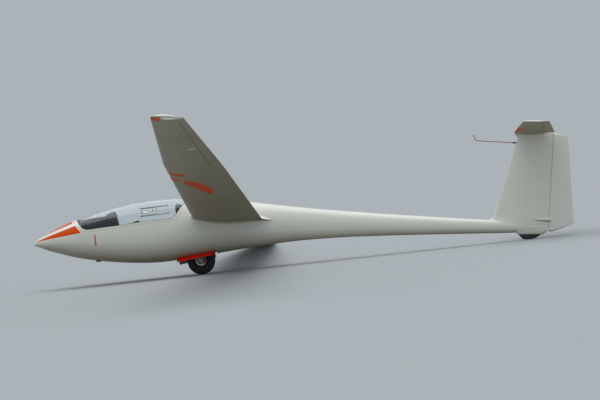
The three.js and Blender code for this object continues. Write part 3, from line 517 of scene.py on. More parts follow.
def toMesh(shape):
    work = bmesh.new()
    points = [work.verts.new(v) for v in shape[0]]
    for face in shape[1]:
        if len(set(face)) > 2:
            work.faces.new([points[i] for i in face])
    bmesh.ops.remove_doubles(work, verts=work.verts, dist=weldDistance)
    return work


def fromMesh(work):
    work.verts.index_update()
    shape = [v.co.copy() for v in work.verts], [tuple(v.index for v in f.verts) for f in work.faces]
    work.free()
    return shape


def cutHole(shape, planes, near):
    # opens a surface inside a set of planes whose normals point outwards
    work = toMesh(shape)
    for place, normal in planes:
        faces = [f for f in work.faces if near(f.calc_center_median())]
        parts = list({e for f in faces for e in f.edges} | {v for f in faces for v in f.verts}) + faces
        bmesh.ops.bisect_plane(work, geom=parts, plane_co=place, plane_no=normal, dist=weldDistance)

    def inside(point):
        return near(point) and all((point - Vector(p)).dot(Vector(n)) < 0 for p, n in planes)

    gone = [f for f in work.faces if inside(f.calc_center_median())]
    bmesh.ops.delete(work, geom=gone, context="FACES")
    return fromMesh(work)


def thicken(shape, innerPoint):
    # closed shell from an open surface: an inner copy and walls along every free edge
    verts, faces = fromMesh(toMesh(shape))
    count = len(verts)
    uses = {}
    for face in faces:
        for a, b in zip(face, face[1:] + face[:1]):
            uses.setdefault(frozenset((a, b)), []).append((a, b))
    walls = [(b, a, a + count, b + count) for pairs in uses.values() if len(pairs) == 1 for a, b in pairs]
    inner = [tuple(i + count for i in reversed(face)) for face in faces]
    return verts + [innerPoint(v) for v in verts], faces + inner + walls


def hermite(table, at):
    # smooth values of a table's columns at a place; the places are its first column
    last = len(table) - 1
    i = next((k for k in range(last) if table[k + 1][0] > at), last - 1)
    a, b = table[i], table[i + 1]
    width = b[0] - a[0]
    t = (at - a[0]) / width

    def slope(k, column):
        low, high = table[max(k - 1, 0)], table[min(k + 1, last)]
        return (high[column] - low[column]) / (high[0] - low[0])

    return [(2 * t**3 - 3 * t**2 + 1) * a[n] + (t**3 - 2 * t**2 + t) * width * slope(i, n)
            + (3 * t**2 - 2 * t**3) * b[n] + (t**3 - t**2) * width * slope(i + 1, n)
            for n in range(1, len(a))]


def linear(table, at):
    # the same with straight lines between the rows
    last = len(table) - 1
    i = next((k for k in range(1, last + 1) if table[k][0] >= at), last)
    a, b = table[i - 1], table[i]
    return [low + (high - low) * (at - a[0]) / (b[0] - a[0]) for low, high in zip(a[1:], b[1:])]


def spread(low, high, count):
    return [low + (high - low) * k / (count - 1) for k in range(count)]


# Fuselage skin
bodySet = {
    # x, top, bottom, half width, height of the widest line, roundness
    "stations": [
        (0.000, -0.205, -0.236, 0.015, -0.221, 2.0), (0.030, -0.178, -0.250, 0.048, -0.215, 2.0),
        (0.085, -0.138, -0.268, 0.095, -0.206, 2.0), (0.148, -0.106, -0.294, 0.136, -0.200, 2.05),
        (0.240, -0.056, -0.320, 0.178, -0.185, 2.1), (0.338, -0.004, -0.344, 0.213, -0.172, 2.1),
        (0.541, 0.089, -0.392, 0.263, -0.146, 2.15), (0.750, 0.169, -0.424, 0.294, -0.128, 2.2),
        (1.000, 0.248, -0.447, 0.312, -0.116, 2.2), (1.300, 0.319, -0.460, 0.320, -0.104, 2.2),
        (1.600, 0.360, -0.452, 0.317, -0.088, 2.2), (1.857, 0.375, -0.420, 0.305, -0.058, 2.15),
        (2.100, 0.371, -0.379, 0.284, -0.022, 2.1), (2.313, 0.358, -0.343, 0.258, 0.004, 2.05),
        (2.500, 0.340, -0.309, 0.229, 0.014, 2.0), (2.731, 0.315, -0.272, 0.198, 0.020, 2.0),
        (3.000, 0.285, -0.229, 0.168, 0.027, 2.0), (3.376, 0.244, -0.181, 0.139, 0.031, 2.0),
        (3.883, 0.199, -0.142, 0.116, 0.028, 2.0), (4.389, 0.161, -0.122, 0.101, 0.019, 2.0),
        (4.959, 0.124, -0.108, 0.088, 0.008, 2.0), (5.592, 0.087, -0.096, 0.073, -0.005, 2.0),
        (6.000, 0.066, -0.088, 0.058, -0.011, 2.0), (6.300, 0.052, -0.076, 0.042, -0.012, 2.0),
        (6.560, 0.042, -0.062, 0.026, -0.010, 2.0),
    ],
    # canopy seen from the side: x and height of the joint line, then of the glass edge
    "canopyLine": [
        (0.500, 0.100, 0.538, 0.110), (0.512, 0.062, 0.553, 0.070), (0.579, -0.030, 0.617, -0.022),
        (0.640, -0.084, 0.667, -0.056), (0.718, -0.092, 0.725, -0.063), (0.844, -0.074, 0.844, -0.046),
        (1.098, -0.041, 1.098, -0.013), (1.351, -0.003, 1.351, 0.025), (1.604, 0.025, 1.604, 0.053),
        (1.745, 0.040, 1.731, 0.068), (1.812, 0.062, 1.785, 0.092), (1.868, 0.118, 1.835, 0.142),
        (1.906, 0.190, 1.872, 0.205), (1.952, 0.265, 1.925, 0.272), (2.008, 0.400, 1.985, 0.400),
    ],
    "noseTip": 0.0031,               # reach of the round nose ahead of the first station
    "noseRings": (0.02, 0.1, 0.25, 0.5, 0.75),
    "noseSteps": 20,
    "noseStep": 0.0012,              # the first step behind the nose, and the others grow by squares
    "noseWall": 0.16,                # front end of the cockpit's inner wall
    "wall": 0.014,
    "ringPoints": 97,
    "wallPoints": 73,
    "jointPoints": 170,              # along one side of the canopy's joint line
    "boomRings": 130,
    "end": 6.490,
    "bulkhead": 1.786,               # front of the wall behind the seat
    "shelf": 0.074,                  # floor of the head recess
    "recessBack": (1.948, 6.1),      # foot of the leaning rear wall and its slope
}


def noseScale(x):
    # the nose is round, so its shape is smooth against the root of the distance from its tip
    return math.sqrt(max(x + bodySet["noseTip"], 0.0))


bodyTable = [(noseScale(row[0]), *row[1:]) for row in bodySet["stations"]]


def station(x):
    return hermite(bodyTable, noseScale(x))


def section(x, above, inset=0.0):
    # half width, reach from the widest line up or down, height of that line, roundness
    top, bottom, half, waist, power = station(x)
    reach = top - inset - waist if above else waist - bottom - inset
    return half - inset, reach, waist, power


def skinPoint(x, angle, inset=0.0):
    c, s = math.cos(angle), math.sin(angle)
    half, reach, waist, power = section(x, s > 0, inset)
    return Vector((x, half * math.copysign(abs(c) ** (2 / power), c),
                   waist + reach * math.copysign(abs(s) ** (2 / power), s)))


def toSkin(point, inset=0.0):
    # moves a point in its own cross-section onto the skin, or a distance inside it
    x, y, z = point
    waist = station(x)[3]
    half, reach, waist, power = section(x, z > waist, inset)
    size = (abs(y / half) ** power + abs((z - waist) / reach) ** power) ** (1 / power)
    return Vector((x, y / size, waist + (z - waist) / size))


def heightPart(x, z, inset):
    # height from the widest line as a part of the skin's reach
    half, reach, waist, power = section(x, z > station(x)[3], inset)
    return half, min(abs(z - waist) / reach, 1.0), z - waist, power


def skinSide(x, z, inset=0.0):
    # half width of the skin at a height
    half, part, _, power = heightPart(x, z, inset)
    return half * max(1 - part**power, 0.0) ** (1 / power)


def skinAngle(x, z, inset=0.0):
    _, part, height, power = heightPart(x, z, inset)
    return math.copysign(math.asin(min(part ** (power / 2), 1.0)), height)


def bellyHeight(x, y):
    half, reach, waist, power = section(x, False)
    return waist - reach * (1 - min(abs(y) / half, 1) ** power) ** (1 / power)


def resample(points, count):
    lengths = [0.0]
    for a, b in zip(points, points[1:]):
        lengths.append(lengths[-1] + (b - a).length)
    out, k = [], 0
    for want in spread(0, lengths[-1], count):
        while k < len(points) - 2 and lengths[k + 1] < want:
            k += 1
        gap = lengths[k + 1] - lengths[k]
        out.append(points[k].lerp(points[k + 1], (want - lengths[k]) / gap if gap else 0))
    return out


def smoothCurve(points, perSpan=24):
    # even spline through flat or spatial points
    fine = []
    rows = [Vector(p) for p in points]
    for i in range(len(rows) - 1):
        p0, p1 = rows[max(i - 1, 0)], rows[i]
        p2, p3 = rows[i + 1], rows[min(i + 2, len(rows) - 1)]
        for k in range(perSpan):
            t = k / perSpan
            fine.append(0.5 * ((2 * p1) + (p2 - p0) * t + (2 * p0 - 5 * p1 + 4 * p2 - p3) * t * t
                               + (3 * p1 - p0 - 3 * p2 + p3) * t**3))
    return fine + [rows[-1]]


def canopyCurve(column, count, drawn=0.0):
    # right half of the joint line or glass edge on the skin, at even steps from front to rear
    fine = smoothCurve([row[column:column + 2] for row in bodySet["canopyLine"]])
    shifted = []
    for i, p in enumerate(fine):
        run = runAt(fine, i)
        shifted.append((p.x - drawn * run.y, p.y + drawn * run.x))
    inside = [(x, z) for x, z in shifted if z < station(x)[0]]
    first, last = [Vector((x, 0, station(x)[0])) for x in (inside[0][0], inside[-1][0])]
    return resample([first] + [Vector((x, skinSide(x, z), z)) for x, z in inside] + [last], count)


jointLine = canopyCurve(0, bodySet["jointPoints"])
upright = math.pi / 2


def openRing(x, cut, count, inset=0.0):
    # from the right cut down round the belly to the left cut
    return [skinPoint(x, cut + (-math.pi - 2 * cut) * k / (count - 1), inset) for k in range(count)]


def buildFuselage(s):
    count = s["ringPoints"]
    front = openRing(0, upright, count)
    middle = Vector((0, 0, station(0)[3]))
    nose = []
    for part in s["noseRings"]:
        ahead = Vector((s["noseTip"] * (1 - part), 0, 0))
        nose.append([middle + (p - middle) * math.sqrt(part) - ahead for p in front])
    rows = [(s["noseStep"] * k * k, upright) for k in range(s["noseSteps"])]
    rows += [(x, upright) for x in spread(rows[-1][0] + 0.012, jointLine[0].x - 0.004, 8)]
    rows += [(p.x, skinAngle(p.x, p.z)) for p in jointLine]
    rows += [(x, upright) for x in spread(jointLine[-1].x + 0.01, s["end"], s["boomRings"])]
    rings = nose + [openRing(x, cut, count) for x, cut in rows]
    return loft(rings, closed=False)


wellSet = {
    "x0": 1.823, "x1": 2.330, "half": 0.108, "top": -0.125,
    "skinBelow": -0.2,               # the well opens only skin lower than this
    "ribs": 5, "ribSize": (0.012, 0.008, 0.16), "ribZ": -0.22, "ribEnds": 0.08,
}


def cutWell(shape, w):
    planes = [((w["x0"], 0, 0), (-1, 0, 0)), ((w["x1"], 0, 0), (1, 0, 0)),
              ((0, -w["half"], 0), (0, -1, 0)), ((0, w["half"], 0), (0, 1, 0))]

    def near(p):
        return p.z < w["skinBelow"] and w["x0"] - 0.1 < p.x < w["x1"] + 0.1

    return cutHole(shape, planes, near)


def buildWell(w):
    def wall(points):
        low = [Vector((x, y, bellyHeight(x, y))) for x, y in points]
        high = [Vector((x, y, w["top"])) for x, y in points]
        return sheet([low, high])

    xs, ys = spread(w["x0"], w["x1"], 24), spread(-w["half"], w["half"], 12)
    walls = [wall([(x, side * w["half"]) for x in xs]) for side in (-1, 1)]
    walls += [wall([(x, y) for y in ys]) for x in (w["x0"], w["x1"])]
    corners = [Vector((x, y, w["top"])) for x in (w["x0"], w["x1"]) for y in (-w["half"], w["half"])]
    roof = (corners, [(0, 1, 3, 2)])
    ribY = w["half"] - w["ribSize"][1] / 2
    ribs = [roundBlock((x, side * ribY, w["ribZ"]), w["ribSize"], 0.002)
            for x in spread(w["x0"] + w["ribEnds"], w["x1"] - w["ribEnds"], w["ribs"]) for side in (-1, 1)]
    return joinShapes(*walls, roof, *ribs)


def buildLiner(s):
    # inner wall of the cockpit with its rim, the wall behind the seat and the head recess
    wall, count = s["wall"], s["wallPoints"]

    def ring(x, cutHeight, floor=None):
        cut = skinAngle(x, cutHeight, wall) if cutHeight < station(x)[0] - wall else upright
        inner = openRing(x, cut, count, wall)
        if floor is not None:
            limit = skinSide(x, floor, wall)
            inner = [Vector((p.x, math.copysign(min(abs(p.y), limit), p.y), max(p.z, floor))) for p in inner]
        outer = skinSide(x, cutHeight)
        return [Vector((x, outer, cutHeight))] + inner + [Vector((x, -outer, cutHeight))]

    front = [openRing(x, upright, count, wall) for x in spread(s["noseWall"], jointLine[0].x, 24)]
    seat = [p for p in jointLine if p.x < s["bulkhead"]]
    rows = [ring(p.x, p.z) for p in seat]
    edge = seat[-1]
    rows.append(ring(edge.x, edge.z, edge.z))
    foot, slope = s["recessBack"]
    for p in jointLine[len(seat):]:
        floor = max(s["shelf"], s["shelf"] + slope * (p.x - foot))
        rows.append(ring(p.x, p.z, min(floor, p.z)))
    return joinShapes(loft(front, True, False, closed=False), sheet(rows))


# Flying surfaces
airfoil = [
    # chord fraction, half thickness over full thickness, divided by the root of the fraction
    (0.0, 1.11), (0.0125, 1.091), (0.05, 1.033), (0.1, 0.999), (0.2, 0.9436), (0.3, 0.8764), (0.4, 0.7898),
    (0.5, 0.6689), (0.6, 0.5216), (0.7, 0.3681), (0.8, 0.2236), (0.9, 0.097), (1.0, 0.010),
]


def thicknessAt(part):
    return math.sqrt(max(part, 0.0)) * hermite(airfoil, part)[0]


# Along the chord: points of a whole side, of a hollow, of a flap's side, of a flap's nose
chordSet = {"side": 30, "hollow": 12, "flap": 16, "nose": 14}

wingSet = {
    # y, leading edge x, chord, thickness over chord
    "stations": [(0.0, 2.023, 0.899, 0.168), (0.33, 2.025, 0.883, 0.165), (4.35, 2.057, 0.695, 0.155),
                 (7.42, 2.212, 0.366, 0.135), (7.468, 2.218, 0.355, 0.125), (7.492, 2.230, 0.330, 0.115),
                 (7.5, 2.244, 0.300, 0.11)],
    "root": 0.33, "tip": 7.4995, "tipRound": 0.045,
    "leadZ": 0.091, "rise": 0.0515, "incidence": math.radians(1.95), "camber": 0.026,
    "aileron": (4.360, 7.185), "aileronParts": (0.812, 0.795), "endGap": 0.0075, "slot": 0.0040,
    "brake": (1.7535, 2.9465), "brakeParts": (0.508, 0.552), "brakeNear": (0.4, 0.7),
}
tailSet = {
    "stations": [(0.0, 6.080, 0.519, 0.112), (1.13, 6.189, 0.333, 0.105), (1.166, 6.196, 0.322, 0.100),
                 (1.18, 6.210, 0.300, 0.095)],
    "z": 1.184, "straight": 1.13, "tip": 1.1795, "tipRound": 0.03,
    "hingeX": 6.455, "cutOut": 0.060, "slot": 0.0045, "tube": 0.009, "tubeEnds": 0.012,
}
finSet = {
    # z, fin leading edge, rudder trailing edge, full thickness
    "stations": [(-0.09, 5.700, 6.840, 0.092), (0.03, 5.735, 6.833, 0.092), (0.08, 5.785, 6.827, 0.092),
                 (0.13, 5.828, 6.824, 0.090), (0.45, 5.926, 6.805, 0.082), (0.95, 6.070, 6.774, 0.068),
                 (1.12, 6.126, 6.764, 0.064), (1.2, 6.151, 6.759, 0.062)],
    "foot": 0.012, "top": 1.176, "hingeFoot": (6.524, -0.075), "hingeTop": (6.590, 1.180), "slot": 0.0055,
    "rudderFoot": ((6.497, -0.070), (6.560, -0.070), (6.838, 0.028)),
    "rudderTop": ((6.556, 1.174), (6.640, 1.166), (6.757, 1.144)),
    "rudderLow": -0.070, "rudderTall": 1.244, "rudderRound": 0.018, "rudderEnds": 0.0144,
}


def endRound(distance, reach):
    # thins a surface towards a rounded end
    t = min(max(distance / reach, 0.0), 1.0)
    return math.sqrt(1 - (1 - t) ** 2)


def wingPoint(y, part, side):
    w = wingSet
    span = abs(y)
    leadX, chord, ratio = linear(w["stations"], span)
    half = thicknessAt(part) * ratio * chord * endRound(w["tip"] + 0.0004 - span, w["tipRound"])
    height = 4 * w["camber"] * chord * part * (1 - part) + side * half
    c, s = math.cos(w["incidence"]), math.sin(w["incidence"])
    back = part * chord
    return Vector((leadX + back * c + height * s, y, w["leadZ"] + span * w["rise"] - back * s + height * c))


def tailPoint(y, part, side):
    t = tailSet
    leadX, chord, ratio = linear(t["stations"], abs(y))
    half = thicknessAt(part) * ratio * chord * endRound(t["tip"] + 0.0004 - abs(y), t["tipRound"])
    return Vector((leadX + part * chord, y, t["z"] + side * half))


def finPoint(z, part, side, grow=0.0):
    leadX, trailX, full = linear(finSet["stations"], z)
    return Vector((leadX + part * (trailX - leadX), side * (thicknessAt(part) * full + grow), z))


def chordParts(first, last, count, power=1.5):
    return [first + (last - first) * t**power for t in spread(0, 1, count)]


def arcPoints(centre, start, end, through, count):
    # round arc from start to end about the centre, on the side that the third point lies
    a, b = start - centre, end - centre
    mid = through.normalized()
    out = []
    for t in spread(0, 1, count):
        if t < 0.5:
            v = a.normalized().slerp(mid, t * 2)
        else:
            v = mid.slerp(b.normalized(), t * 2 - 1)
        out.append(centre + v * (a.length * (1 - t) + b.length * t))
    return out


def hollowRound(surface, at, hinge, slot):
    centre = surface(at, hinge, 0)
    return centre, (surface(at, hinge, 1) - centre).length + slot


def hollowLip(surface, at, hinge, slot, side):
    # chord part where one side of a surface meets the hollow, found by halving
    centre, radius = hollowRound(surface, at, hinge, slot)
    low, high = hinge - 0.2, hinge
    for _ in range(30):
        middle = (low + high) / 2
        if (surface(at, middle, side) - centre).length > radius:
            low = middle
        else:
            high = middle
    return low


def noseArc(surface, at, hinge, lower, upper, count):
    centre = surface(at, hinge, 0)
    ahead = surface(at, hinge - 0.1, 0) - centre
    return arcPoints(centre, lower, upper, ahead, count)[1:-1]


def fixedRing(surface, at, hinge=None, slot=0.0):
    # closed section ahead of a moving flap, hollowed round the flap's nose; no hinge gives the whole section
    ends = [1 if hinge is None else hollowLip(surface, at, hinge, slot, side) for side in (1, -1)]
    upper, lower = [[surface(at, p, side) for p in chordParts(0, end, chordSet["side"])]
                    for end, side in zip(ends, (1, -1))]
    if hinge is None:
        back = [lower[-1].lerp(upper[-1], t) for t in spread(0, 1, chordSet["hollow"])[1:-1]]
    else:
        back = noseArc(surface, at, hinge, lower[-1], upper[-1], chordSet["hollow"])
    return upper[::-1] + lower[1:] + back


def flapRing(surface, at, hinge, parts=chordSet["flap"]):
    upper, lower = [[surface(at, p, side) for p in chordParts(hinge, 1, parts, 1)] for side in (1, -1)]
    return upper + lower[::-1] + noseArc(surface, at, hinge, lower[0], upper[0], chordSet["nose"])


def roundTip(s, count):
    # places along the span that close a rounded tip, from where the rounding starts
    edge = s["tip"] - s["tipRound"]
    return [edge] + [edge + s["tipRound"] * math.sin(math.pi / 2 * t) for t in spread(0.08, 1, count)]


def inHollow(surface, hinge, slot, at, first, last):
    # tells whether a point lies in the hollow ahead of a flap; at picks its place along the span
    def test(p):
        y = at(p)
        if not first < y < last:
            return False
        centre, radius = hollowRound(surface, y, hinge(y), slot)
        return (p - centre).length < radius * 1.03

    return test


def aileronHinge(y):
    (y0, y1), (p0, p1) = wingSet["aileron"], wingSet["aileronParts"]
    return p0 + (p1 - p0) * (y - y0) / (y1 - y0)


def buildWing(w):
    y0, y1 = w["aileron"]
    tips = roundTip(w, 12)
    rings = [fixedRing(wingPoint, y) for y in spread(w["root"], y0, 26)]
    rings += [fixedRing(wingPoint, y, aileronHinge(y), w["slot"]) for y in spread(y0, y1, 22)]
    rings += [fixedRing(wingPoint, y) for y in spread(y1, tips[0], 8) + tips[1:]]
    shape = loft(rings)
    b0, b1 = w["brake"]
    planes = [((0, b0, 0), (0, -1, 0)), ((0, b1, 0), (0, 1, 0))]
    for part, side in zip(w["brakeParts"], (-1, 1)):
        inner, outer = wingPoint(b0, part, 1), wingPoint(b1, part, 1)
        normal = Vector((outer.y - inner.y, inner.x - outer.x, 0)).normalized() * side
        planes.append((inner, normal))
    p0, p1 = w["brakeNear"]

    def near(p):
        leadX, chord, _ = linear(w["stations"], p.y)
        part = (p.x - leadX) / chord
        return b0 - 0.2 < p.y < b1 + 0.2 and p0 < part < p1 and p.z > wingPoint(p.y, part, 0).z

    return cutHole(shape, planes, near)


brakeSet = {
    "part": 0.53,                    # place along the chord
    "cap": 0.030, "capThick": 0.0035, "ends": (1.758, 2.942),
    "blade": 0.0045, "bladeEnds": (1.772, 2.928), "top": 0.006, "depth": 0.088,
    "posts": 17, "postWidth": 0.014, "rail": 0.012, "lowRail": 0.03,
    "feet": 5, "footWidth": 0.04, "footThick": 0.016, "boxDepth": 0.098,
}


def buildBrakeBox(b):
    # walls of the slot in the wing that the blade comes out of
    low = Vector((0, 0, b["boxDepth"]))
    rows = []
    for y in spread(*wingSet["brake"], 30):
        front, back = [wingPoint(y, part, 1) for part in wingSet["brakeParts"]]
        rows.append([front, front - low, back - low, back])
    caps = [(row, [(0, 1, 2, 3)]) for row in (rows[0], rows[-1])]
    return joinShapes(sheet(rows), *caps)


def buildAirbrake(b):
    rings = []
    for y in spread(*b["ends"], 30):
        chord = linear(wingSet["stations"], y)[1]
        top = [wingPoint(y, b["part"] + b["cap"] * t / chord, 1) for t in spread(-0.5, 0.5, 9)]
        rings.append(top + [p - Vector((0, 0, b["capThick"])) for p in reversed(top)])
    shapes = [loft(rings)]
    y0, y1 = b["bladeEnds"]

    def bar(fromY, toY, high, low, thick):
        rings = []
        for y in spread(fromY, toY, max(2, int((toY - fromY) / 0.08))):
            p = wingPoint(y, b["part"], 1)
            front, back = p.x - thick / 2, p.x + thick / 2
            rings.append([Vector((front, y, p.z - low)), Vector((back, y, p.z - low)),
                          Vector((back, y, p.z - high)), Vector((front, y, p.z - high))])
        return loft(rings)

    shapes.append(bar(y0, y1, b["top"], b["top"] + b["rail"], b["blade"]))
    shapes.append(bar(y0, y1, b["depth"] - b["lowRail"], b["depth"], b["blade"]))
    for y in spread(y0, y1 - b["postWidth"], b["posts"]):
        shapes.append(bar(y, y + b["postWidth"], b["top"] + 0.002, b["depth"] - 0.002, b["blade"] + 0.0008))
    half = b["footWidth"] / 2
    for y in spread(y0 + 0.12, y1 - 0.12, b["feet"]):
        shapes.append(bar(y - half, y + half, b["capThick"] - 0.0005, b["top"] + 0.004, b["footThick"]))
    return joinShapes(*shapes)


def buildAileron(w):
    y0, y1 = w["aileron"]
    spans = spread(y0 + w["endGap"], y1 - w["endGap"], 24)
    return loft([flapRing(wingPoint, y, aileronHinge(y)) for y in spans])


def tailHinge(y):
    leadX, chord, _ = linear(tailSet["stations"], abs(y))
    return (tailSet["hingeX"] - leadX) / chord


def buildTailplane(t):
    half = spread(0, t["straight"], 16) + roundTip(t, 10)
    spans = [-y for y in reversed(half)] + half[1:]
    return loft([fixedRing(tailPoint, y, tailHinge(y), t["slot"]) for y in spans])


def buildElevator(t):
    spans = spread(t["cutOut"], t["straight"], 14) + roundTip(t, 10)
    halves = [loft([flapRing(tailPoint, side * y, tailHinge(y)) for y in spans]) for side in (-1, 1)]
    end = t["cutOut"] + t["tubeEnds"]
    bar = tube([(t["hingeX"], y, t["z"]) for y in spread(-end, end, 5)], t["tube"], 20)
    horn = roundBlock((t["hingeX"] + 0.004, 0, t["z"] - 0.001), (0.03, 0.012, 0.022), 0.003)
    return joinShapes(*halves), joinShapes(bar, horn)


def rudderHinge(z):
    (x0, z0), (x1, z1) = finSet["hingeFoot"], finSet["hingeTop"]
    x = x0 + (x1 - x0) * (z - z0) / (z1 - z0)
    leadX, trailX, _ = linear(finSet["stations"], z)
    return (x - leadX) / (trailX - leadX)


def buildFin(f):
    heights = spread(f["foot"], 0.13, 8) + spread(0.16, f["top"], 24)
    return loft([fixedRing(finPoint, z, rudderHinge(z), f["slot"]) for z in heights])


def edgeHeight(line, x):
    return linear(line, min(max(x, line[0][0]), line[-1][0]))[0]


def rudderPoint(t, part, side):
    # t runs from the slanted bottom edge to the drooping top edge, both rounded
    f = finSet
    z = 0.0
    for _ in range(6):
        leadX, trailX, _ = linear(f["stations"], z)
        x = leadX + part * (trailX - leadX)
        low, high = edgeHeight(f["rudderFoot"], x), edgeHeight(f["rudderTop"], x)
        z = low + (high - low) * t
    full = linear(f["stations"], z)[2]
    thin = endRound(min(z - low, high - z) + 0.0006, f["rudderRound"])
    return Vector((x, side * thicknessAt(part) * full * thin, z))


def buildRudder(f):
    ends = [f["rudderEnds"] * (1 - math.cos(math.pi / 2 * k)) for k in spread(0, 1, 9)]
    steps = ends + spread(0.03, 0.97, 26) + [1 - e for e in reversed(ends)]
    return loft([flapRing(rudderPoint, t, rudderHinge(f["rudderLow"] + f["rudderTall"] * t), parts=18)
                 for t in steps])


# Coloured marks: distance out along the span and chord part; a part below nought lies on the upper side
markSet = {
    "wing": [[(7.31, -0.2), (7.48, -0.2), (7.48, 0.28), (7.31, 0.28)],
             [(3.68, -0.2), (3.87, -0.2), (3.87, 0.28), (3.68, 0.28)],
             [(3.30, -0.1), (3.49, -0.1), (3.49, 0.14), (3.30, 0.14)],
             [(3.46, 0.228), (3.14, 0.196), (2.88, 0.601), (3.33, 0.404)],
             [(3.14, 0.196), (2.66, 0.427), (2.37, 0.531), (2.88, 0.601)]],
    "tailplaneWedge": [[(0.12, -0.04), (0.62, -0.04), (0.62, 0.10), (0.12, 0.05)]],
    "tailplaneStroke": [[(0.49, 0.05), (0.58, 0.05), (0.58, 0.20), (0.49, 0.20)]],
    "proud": 0.0005, "points": 14,
}


def surfacePatch(surface, corners, s):
    def spot(y, part):
        root = math.copysign(math.sqrt(abs(part)), part)

        def at(dy, aft):
            place = root + aft
            return surface(y + dy, place * place, -1 if place > 0 else 1)

        normal = (at(0, 0.01) - at(0, -0.01)).cross(at(0.01, 0) - at(-0.01, 0)).normalized()
        return at(0, 0) - normal * s["proud"]

    a, b, c, d = [Vector(p) for p in corners]
    steps = spread(0, 1, s["points"])
    rows = [[spot(*a.lerp(d, v).lerp(b.lerp(c, v), u)) for u in steps] for v in steps]
    return sheet(rows)


def buildMarks(surface, patches):
    return joinShapes(*[surfacePatch(surface, patch, markSet) for patch in patches])


# Fillets between wing and fuselage, and between fin and tail boom
filletSet = {
    "reach": 0.062, "spread": 0.09, "rows": 14, "points": 30,
    "finReach": 0.045, "finRows": 10, "finPart": 0.70, "finLift": 0.0004, "finSink": 0.0008,
}


def bezier(a, b, c, t):
    return a * (1 - t) ** 2 + b * 2 * t * (1 - t) + c * t**2


def filletShape(edge, last, rows, closed):
    # swept from a root section to the skin; edge gives a start, a corner and an end for a chord part
    parts = chordParts(0, last, filletSet["points"])
    columns = [edge(p, 1) for p in parts[::-1]] + [edge(p, -1) for p in parts[1:]]
    rings = [[bezier(*column, t) for column in columns] for t in spread(0, 1, rows)]
    return loft(rings, False, False, closed)


def buildWingFillet(f):
    root = wingSet["root"]

    def edge(part, side):
        start = wingPoint(root - 0.0003, part, side)
        run = (start - wingPoint(root + 0.1, part, side)) / 0.1
        corner = start + run * (start.y - skinSide(start.x, start.z))
        corner.y = skinSide(corner.x, corner.z)
        x = corner.x + f["spread"] * (2.4 * part - 0.45)
        z = corner.z + side * (f["reach"] * math.sin(math.pi * math.sqrt(part)) + 0.004 * part)
        return start, corner, Vector((x, skinSide(x, z, 0.001), z))

    return filletShape(edge, 1, f["rows"], True)


def buildFinFillet(f):
    def edge(part, side):
        z0 = station(finPoint(0.06, part, side).x)[0]
        start = finPoint(z0 + f["finReach"] * 0.8, part, side, f["finLift"])
        corner = finPoint(z0 - 0.004, part, side, f["finLift"])
        x = start.x + 0.05 * (2.0 * part - 0.9)
        swell = 0.25 + 0.75 * math.sin(math.pi * min(part / 0.72, 1)) ** 0.7
        half, reach, waist, power = section(x, True)
        y = min(half * 0.94, abs(start.y) + f["finReach"] * swell)
        z = waist + reach * (1 - (y / half) ** power) ** (1 / power) - f["finSink"]
        return start, corner, Vector((x, side * y, z))

    return filletShape(edge, f["finPart"], f["finRows"], False)


# Canopy: frame, glass, and the sliding window on the left
canopySet = {
    "gap": 0.0025, "frameThick": 0.022, "glassThick": 0.004, "points": 130, "across": 8, "domeAcross": 60,
    "window": [(1.390, 0.110), (1.578, 0.135), (1.574, 0.222), (1.393, 0.201)], "windowGap": 0.001,
    "rails": [((1.368, 0.206), (1.717, 0.247)), ((1.381, 0.099), (1.734, 0.145))],
    "railRadius": 0.0044, "railLift": 0.0012, "stop": (0.014, 0.008, 0.010), "stopLift": 0.003,
    "scoop": [(1.404, 0.137), (1.485, 0.147), (1.483, 0.183), (1.402, 0.174)],
    "scoopRadius": 0.0026, "scoopLift": 0.0025, "flapThick": 0.0005,
    "knob": (1.530, 0.182), "knobProfile": [(0, 0), (0.008, 0), (0.008, 0.004), (0.0065, 0.009), (0, 0.0095)],
    "sealRadius": 0.0026, "windowSeal": 0.0022,
    "latch": [(1.292, 0.029), (1.364, 0.044)], "latchInset": 0.030, "latchPlate": (0.075, 0.008, 0.028),
}


def buildCanopyFrame(c):
    outer = canopyCurve(0, c["points"], drawn=c["gap"])
    inner = canopyCurve(2, c["points"])
    rows = [[toSkin(a.lerp(b, t)) for t in spread(0, 1, c["across"])] for a, b in zip(outer, inner)]
    loop = rows + [mirrored(row) for row in rows[::-1]]
    return thicken(sheet(loop), lambda p: toSkin(p, c["frameThick"]))


def glassSurface(c):
    rings = []
    for p in canopyCurve(2, c["points"], drawn=0.0003):
        cut = skinAngle(p.x, p.z)
        rings.append([skinPoint(p.x, angle) for angle in spread(cut, math.pi - cut, c["domeAcross"])])
    return sheet(rings)


def outlinePlanes(outline):
    planes = []
    for (ax, az), (bx, bz) in zip(outline, outline[1:] + outline[:1]):
        run = Vector((bx - ax, 0, bz - az)).normalized()
        planes.append((Vector((ax, 0, az)), Vector((run.z, 0, -run.x))))
    return planes


def buildCanopyGlass(c):
    def near(p):
        return p.y < -0.05 and 1.3 < p.x < 1.66 and p.z < 0.3

    shape = cutHole(glassSurface(c), outlinePlanes(c["window"]), near)
    return thicken(shape, lambda p: toSkin(p, c["glassThick"]))


def skinPatch(corners, countX, countZ, side=-1, inset=0.0):
    # four side-view corners, in turn, laid on the skin
    a, b, c, d = [Vector(p) for p in corners]
    rows = []
    for v in spread(0, 1, countZ):
        flat = [a.lerp(b, u).lerp(d.lerp(c, u), v) for u in spread(0, 1, countX)]
        rows.append([Vector((p.x, side * skinSide(p.x, p.y, inset), p.y)) for p in flat])
    return sheet(rows)


def buildWindow(c):
    corners = [Vector(p) for p in c["window"]]
    middle = sum(corners, Vector((0, 0))) / 4
    drawn = [p + (middle - p).normalized() * c["windowGap"] for p in corners]
    return thicken(skinPatch(drawn, 30, 14, inset=-0.0002), lambda p: toSkin(p, c["glassThick"]))


